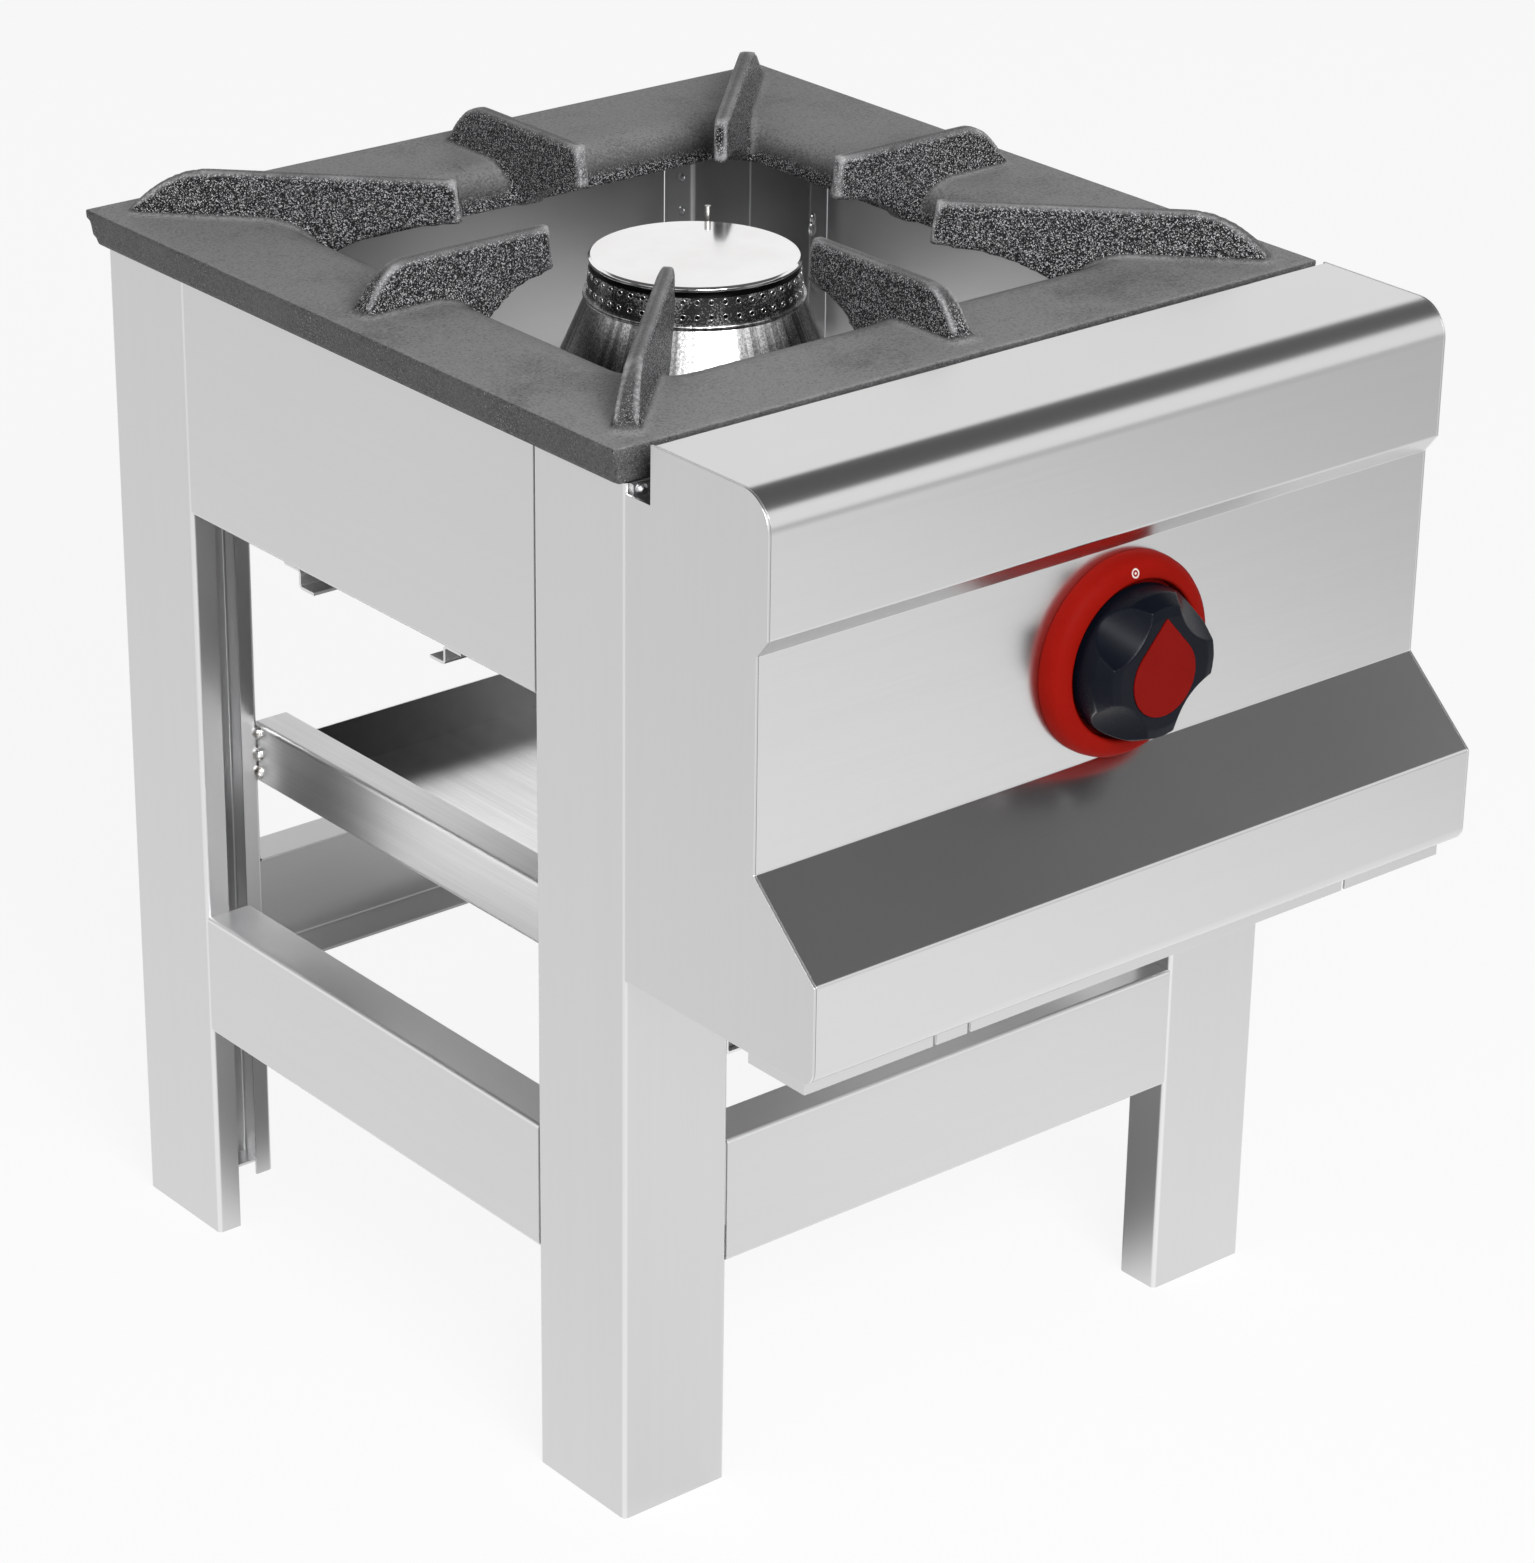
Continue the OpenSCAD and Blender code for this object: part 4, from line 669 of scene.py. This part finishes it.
def make_hole_rims():
    """Geometry nodes: rows of small round rims that face out round an upright ring."""
    group = bpy.data.node_groups.new("hole_rims", "GeometryNodeTree")
    for label, kind, value in (("Count", "NodeSocketInt", PORTS_IN_A_ROW),
                               ("Low Radius", FLOAT, 0.05),
                               ("High Radius", FLOAT, 0.05),
                               ("Low Height", FLOAT, 0.0),
                               ("High Height", FLOAT, 0.01),
                               ("Rim Radius", FLOAT, 0.001),
                               ("Wire Radius", FLOAT, 0.0002),
                               ("Material", "NodeSocketMaterial", None)):
        made = group.interface.new_socket(label, in_out="INPUT", socket_type=kind)
        if value is not None:
            made.default_value = value
    group.interface.new_socket("Geometry", in_out="OUTPUT", socket_type="NodeSocketGeometry")
    given, out = put(group, "NodeGroupInput"), put(group, "NodeGroupOutput")
    loop = put(group, "GeometryNodeCurvePrimitiveCircle",
               {"Resolution": 14, "Radius": given.outputs["Rim Radius"]})
    wire = put(group, "GeometryNodeCurvePrimitiveCircle",
               {"Resolution": 6, "Radius": given.outputs["Wire Radius"]})
    rim = put(group, "GeometryNodeCurveToMesh",
              {"Curve": loop.outputs["Curve"], "Profile Curve": wire.outputs["Curve"]})
    rows = put(group, "GeometryNodeJoinGeometry")
    for row, _ in PORT_ROWS:
        circle = put(group, "GeometryNodeMeshCircle",
                     {"Vertices": given.outputs["Count"],
                      "Radius": given.outputs[row + " Radius"]})
        outward = put(group, "FunctionNodeAlignRotationToVector",
                      {"Vector": put(group, "GeometryNodeInputPosition").outputs["Position"]},
                      axis="Z")
        spread = put(group, "GeometryNodeInstanceOnPoints",
                     {"Points": circle.outputs["Mesh"], "Instance": rim.outputs["Mesh"],
                      "Rotation": outward.outputs["Rotation"]})
        raised = put(group, "ShaderNodeCombineXYZ", {"Z": given.outputs[row + " Height"]})
        moved = put(group, "GeometryNodeTransform",
                    {"Geometry": spread.outputs["Instances"],
                     "Translation": raised.outputs["Vector"]})
        group.links.new(moved.outputs["Geometry"], rows.inputs["Geometry"])
    real = put(group, "GeometryNodeRealizeInstances", {"Geometry": rows.outputs["Geometry"]})
    painted = put(group, "GeometryNodeSetMaterial",
                  {"Geometry": real.outputs["Geometry"], "Material": given.outputs["Material"]})
    group.links.new(painted.outputs["Geometry"], out.inputs["Geometry"])
    return group


def port_rims():
    """Bright burrs round the ports of the flame ring."""
    low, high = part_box("flame_ring")
    tall, radius = high.z - low.z, (high.x - low.x) / 2
    obj = new_piece("port_rims", bpy.data.meshes.new("port_rims"))
    rims = obj.modifiers.new("port rims", "NODES")
    rims.node_group = make_hole_rims()
    named = {item.name: item.identifier for item in rims.node_group.interface.items_tree
             if item.in_out == "INPUT"}
    values = {"Count": PORTS_IN_A_ROW, "Rim Radius": 1.3 * MM, "Wire Radius": 0.22 * MM,
              "Material": rim_steel}
    for row, share in PORT_ROWS:
        height = share * tall
        values[row + " Height"] = height
        values[row + " Radius"] = radius - RING_TAPER * height / (tall - RING_SHOULDER)
    for name, value in values.items():
        rims[named[name]] = value
    applied(obj)
    middle = (low + high) / 2
    obj.data.transform(Matrix.Translation((middle.x, middle.y, low.z)))
    smooth_bends(obj.data, ROUND_SMOOTH_BELOW)
    hand_over(obj, rim_steel, "flame_ring")


def domes(name, node, material, places, way):
    """Small rounded heads or beads, on the side of x that the way says."""
    work = bmesh.new()
    for (x, y, z), sizes in places:
        turn = Matrix.Translation(Vector((way * x, y, z)) * MM) @ Matrix.Diagonal(
            (*(size * MM for size in sizes), 1))
        bmesh.ops.create_uvsphere(work, u_segments=20, v_segments=12, radius=1, matrix=turn)
    mesh = bpy.data.meshes.new(name)
    work.to_mesh(mesh)
    work.free()
    obj = new_piece(name, mesh)
    smooth_bends(mesh, ROUND_SMOOTH_BELOW)
    hand_over(obj, material, node)


# On the right rear leg: centres and half sizes, in millimetres
RIVETS = [((140, 238.8, height), (1.0, 2.6, 2.6)) for height in (489.4, 471.5)]
BEAD = [((188.5, 190.2, 465), (2.6, 1.6, 4.5)), ((188.8, 190.2, 470.5), (2.0, 1.3, 3.2))]

port_rims()
for side, way in (("left", -1), ("right", 1)):
    domes("leg_rivets_" + side, "leg_rear_" + side, zinc, RIVETS, way)
    domes("leg_bead_" + side, "leg_rear_" + side, rim_steel, BEAD, way)


# Floor, light and camera

FLOOR_HALF = 8.0
GLOW_SHARE = 0.9
# Painted shade in the floor's glow in mirrors: full under the stand, fading out to its plan's
# edge
SHADE_FADE, SHADE = 0.07, (0.24, 1.1)
# Painted light: the floor's glow in mirrors, from left to right over the strip's width
STRIP_HALF = 1.5
STRIP_LIGHT = [(0.0, 0.77), (0.2, 0.83), (0.33, 0.875), (0.52, 0.945), (0.57, 0.97),
               (0.64, 0.92), (0.71, 0.86), (0.81, 0.69), (0.90, 0.59), (1.0, 0.55)]
# White near the horizon, dark overhead, by the upward part of the direction
BOOTH_LIGHT = [(0.0, 1.0), (0.52, 1.0), (0.60, 0.11), (1.0, 0.11)]
WHITE = (1, 1, 1, 1)


def floor_paint():
    """White paint that takes shadows; in mirrors it glows as a painted strip of light, with
    painted shade under the stand.
    """
    made = bpy.data.materials.new("floor_white")
    made.use_nodes = True
    tree = made.node_tree
    tree.nodes.clear()
    paint = put(tree, "ShaderNodeBsdfDiffuse", {"Color": (0.86, 0.86, 0.86, 1)})
    seen = put(tree, "ShaderNodeLightPath").outputs
    direct = math_node(tree, "MAXIMUM", seen["Is Camera Ray"], seen["Is Transmission Ray"])
    place = put(tree, "ShaderNodeTexCoord").outputs["Object"]
    # Painted light: a strip of glow across the floor, seen in mirrors
    across = remap(tree, split(tree, place)["X"], -STRIP_HALF, STRIP_HALF)
    strip = ramp(tree, across, STRIP_LIGHT)
    # Painted shade under the stand, in mirrors only
    painted_shade = remap(tree, outside_stand(tree, place), -SHADE_FADE, 0.0, *SHADE,
                  interpolation_type="SMOOTHSTEP")
    painted_light = math_node(tree, "MULTIPLY", strip, painted_shade)
    mirrored = math_node(tree, "MULTIPLY", seen["Is Glossy Ray"], painted_light)
    glow = put(tree, "ShaderNodeEmission",
               {"Color": WHITE, "Strength": math_node(tree, "ADD", direct, mirrored)})
    # Seen directly, a tenth of the floor is paint, and that part holds the shadow
    seen_share = math_node(tree, "MULTIPLY", direct, GLOW_SHARE)
    share = math_node(tree, "ADD", seen_share, seen["Is Glossy Ray"])
    both = put(tree, "ShaderNodeMixShader",
               {"Fac": share, 1: paint.outputs["BSDF"], 2: glow.outputs["Emission"]})
    end = put(tree, "ShaderNodeOutputMaterial")
    tree.links.new(both.outputs["Shader"], end.inputs["Surface"])
    return made


def make_floor():
    mesh = bpy.data.meshes.new("floor")
    corners = [(way_x * FLOOR_HALF, way_y * FLOOR_HALF, 0)
               for way_x, way_y in ((-1, -1), (1, -1), (1, 1), (-1, 1))]
    mesh.from_pydata(corners, [], [(0, 1, 2, 3)])
    floor = new_piece("floor", mesh)
    floor.data.materials.append(floor_paint())


def make_world():
    """White all round near the horizon and darker overhead, as in a lit booth."""
    world = bpy.data.worlds.new("booth")
    bpy.context.scene.world = world
    world.use_nodes = True
    tree = world.node_tree
    tree.nodes.clear()
    way = put(tree, "ShaderNodeTexCoord").outputs["Generated"]
    booth = ramp(tree, split(tree, way)["Z"], BOOTH_LIGHT)
    back = put(tree, "ShaderNodeBackground", {"Color": booth, "Strength": 1.0})
    soft = put(tree, "ShaderNodeBackground", {"Color": WHITE, "Strength": 0.20})
    seen = put(tree, "ShaderNodeLightPath").outputs
    by_ray = put(tree, "ShaderNodeMixShader",
                 {"Fac": seen["Is Diffuse Ray"], 1: back.outputs["Background"],
                  2: soft.outputs["Background"]})
    end = put(tree, "ShaderNodeOutputWorld")
    tree.links.new(by_ray.outputs["Shader"], end.inputs["Surface"])


def aimed_lamp(name, place, target, size, power):
    """A square area lamp that points at its target."""
    data = bpy.data.lights.new(name, "AREA")
    data.shape = "RECTANGLE"
    data.size = data.size_y = size
    data.energy = power
    lamp = bpy.data.objects.new(name, data)
    lamp.location = place
    lamp.rotation_euler = (Vector(target) - Vector(place)).to_track_quat("-Z", "Y").to_euler()
    bpy.context.scene.collection.objects.link(lamp)


def make_camera():
    """Camera fitted to the photo's straight edges."""
    yaw, pitch, roll = math.radians(39.83), math.radians(24.53), math.radians(0.82)
    place = Vector((-1.3621, -1.63886, 1.24119))
    focal_px, long_px, sensor = 4790.9, 1563.0, 36.0
    ahead = Vector((math.sin(yaw) * math.cos(pitch), math.cos(yaw) * math.cos(pitch),
                    -math.sin(pitch)))
    right = Vector((math.cos(yaw), -math.sin(yaw), 0))
    up = right.cross(ahead)
    across = right * math.cos(roll) + up * math.sin(roll)
    upward = up * math.cos(roll) - right * math.sin(roll)
    data = bpy.data.cameras.new("camera")
    data.sensor_fit = "AUTO"
    data.sensor_width = sensor
    data.lens = sensor * focal_px / long_px
    data.clip_start, data.clip_end = 0.05, 50
    camera = bpy.data.objects.new("camera", data)
    turn = Matrix((across, upward, -ahead)).transposed().to_4x4()
    camera.matrix_world = Matrix.Translation(place) @ turn
    bpy.context.scene.collection.objects.link(camera)
    bpy.context.scene.camera = camera


make_floor()
make_world()
aimed_lamp("key", place=(-0.9, -2.5, 1.9), target=(0, 0, 0.4), size=1.5, power=92)
aimed_lamp("side", place=(-2.4, -0.6, 2.0), target=(0, 0, 0.35), size=1.5, power=6)
make_camera()
bpy.context.scene.view_settings.view_transform = "Standard"
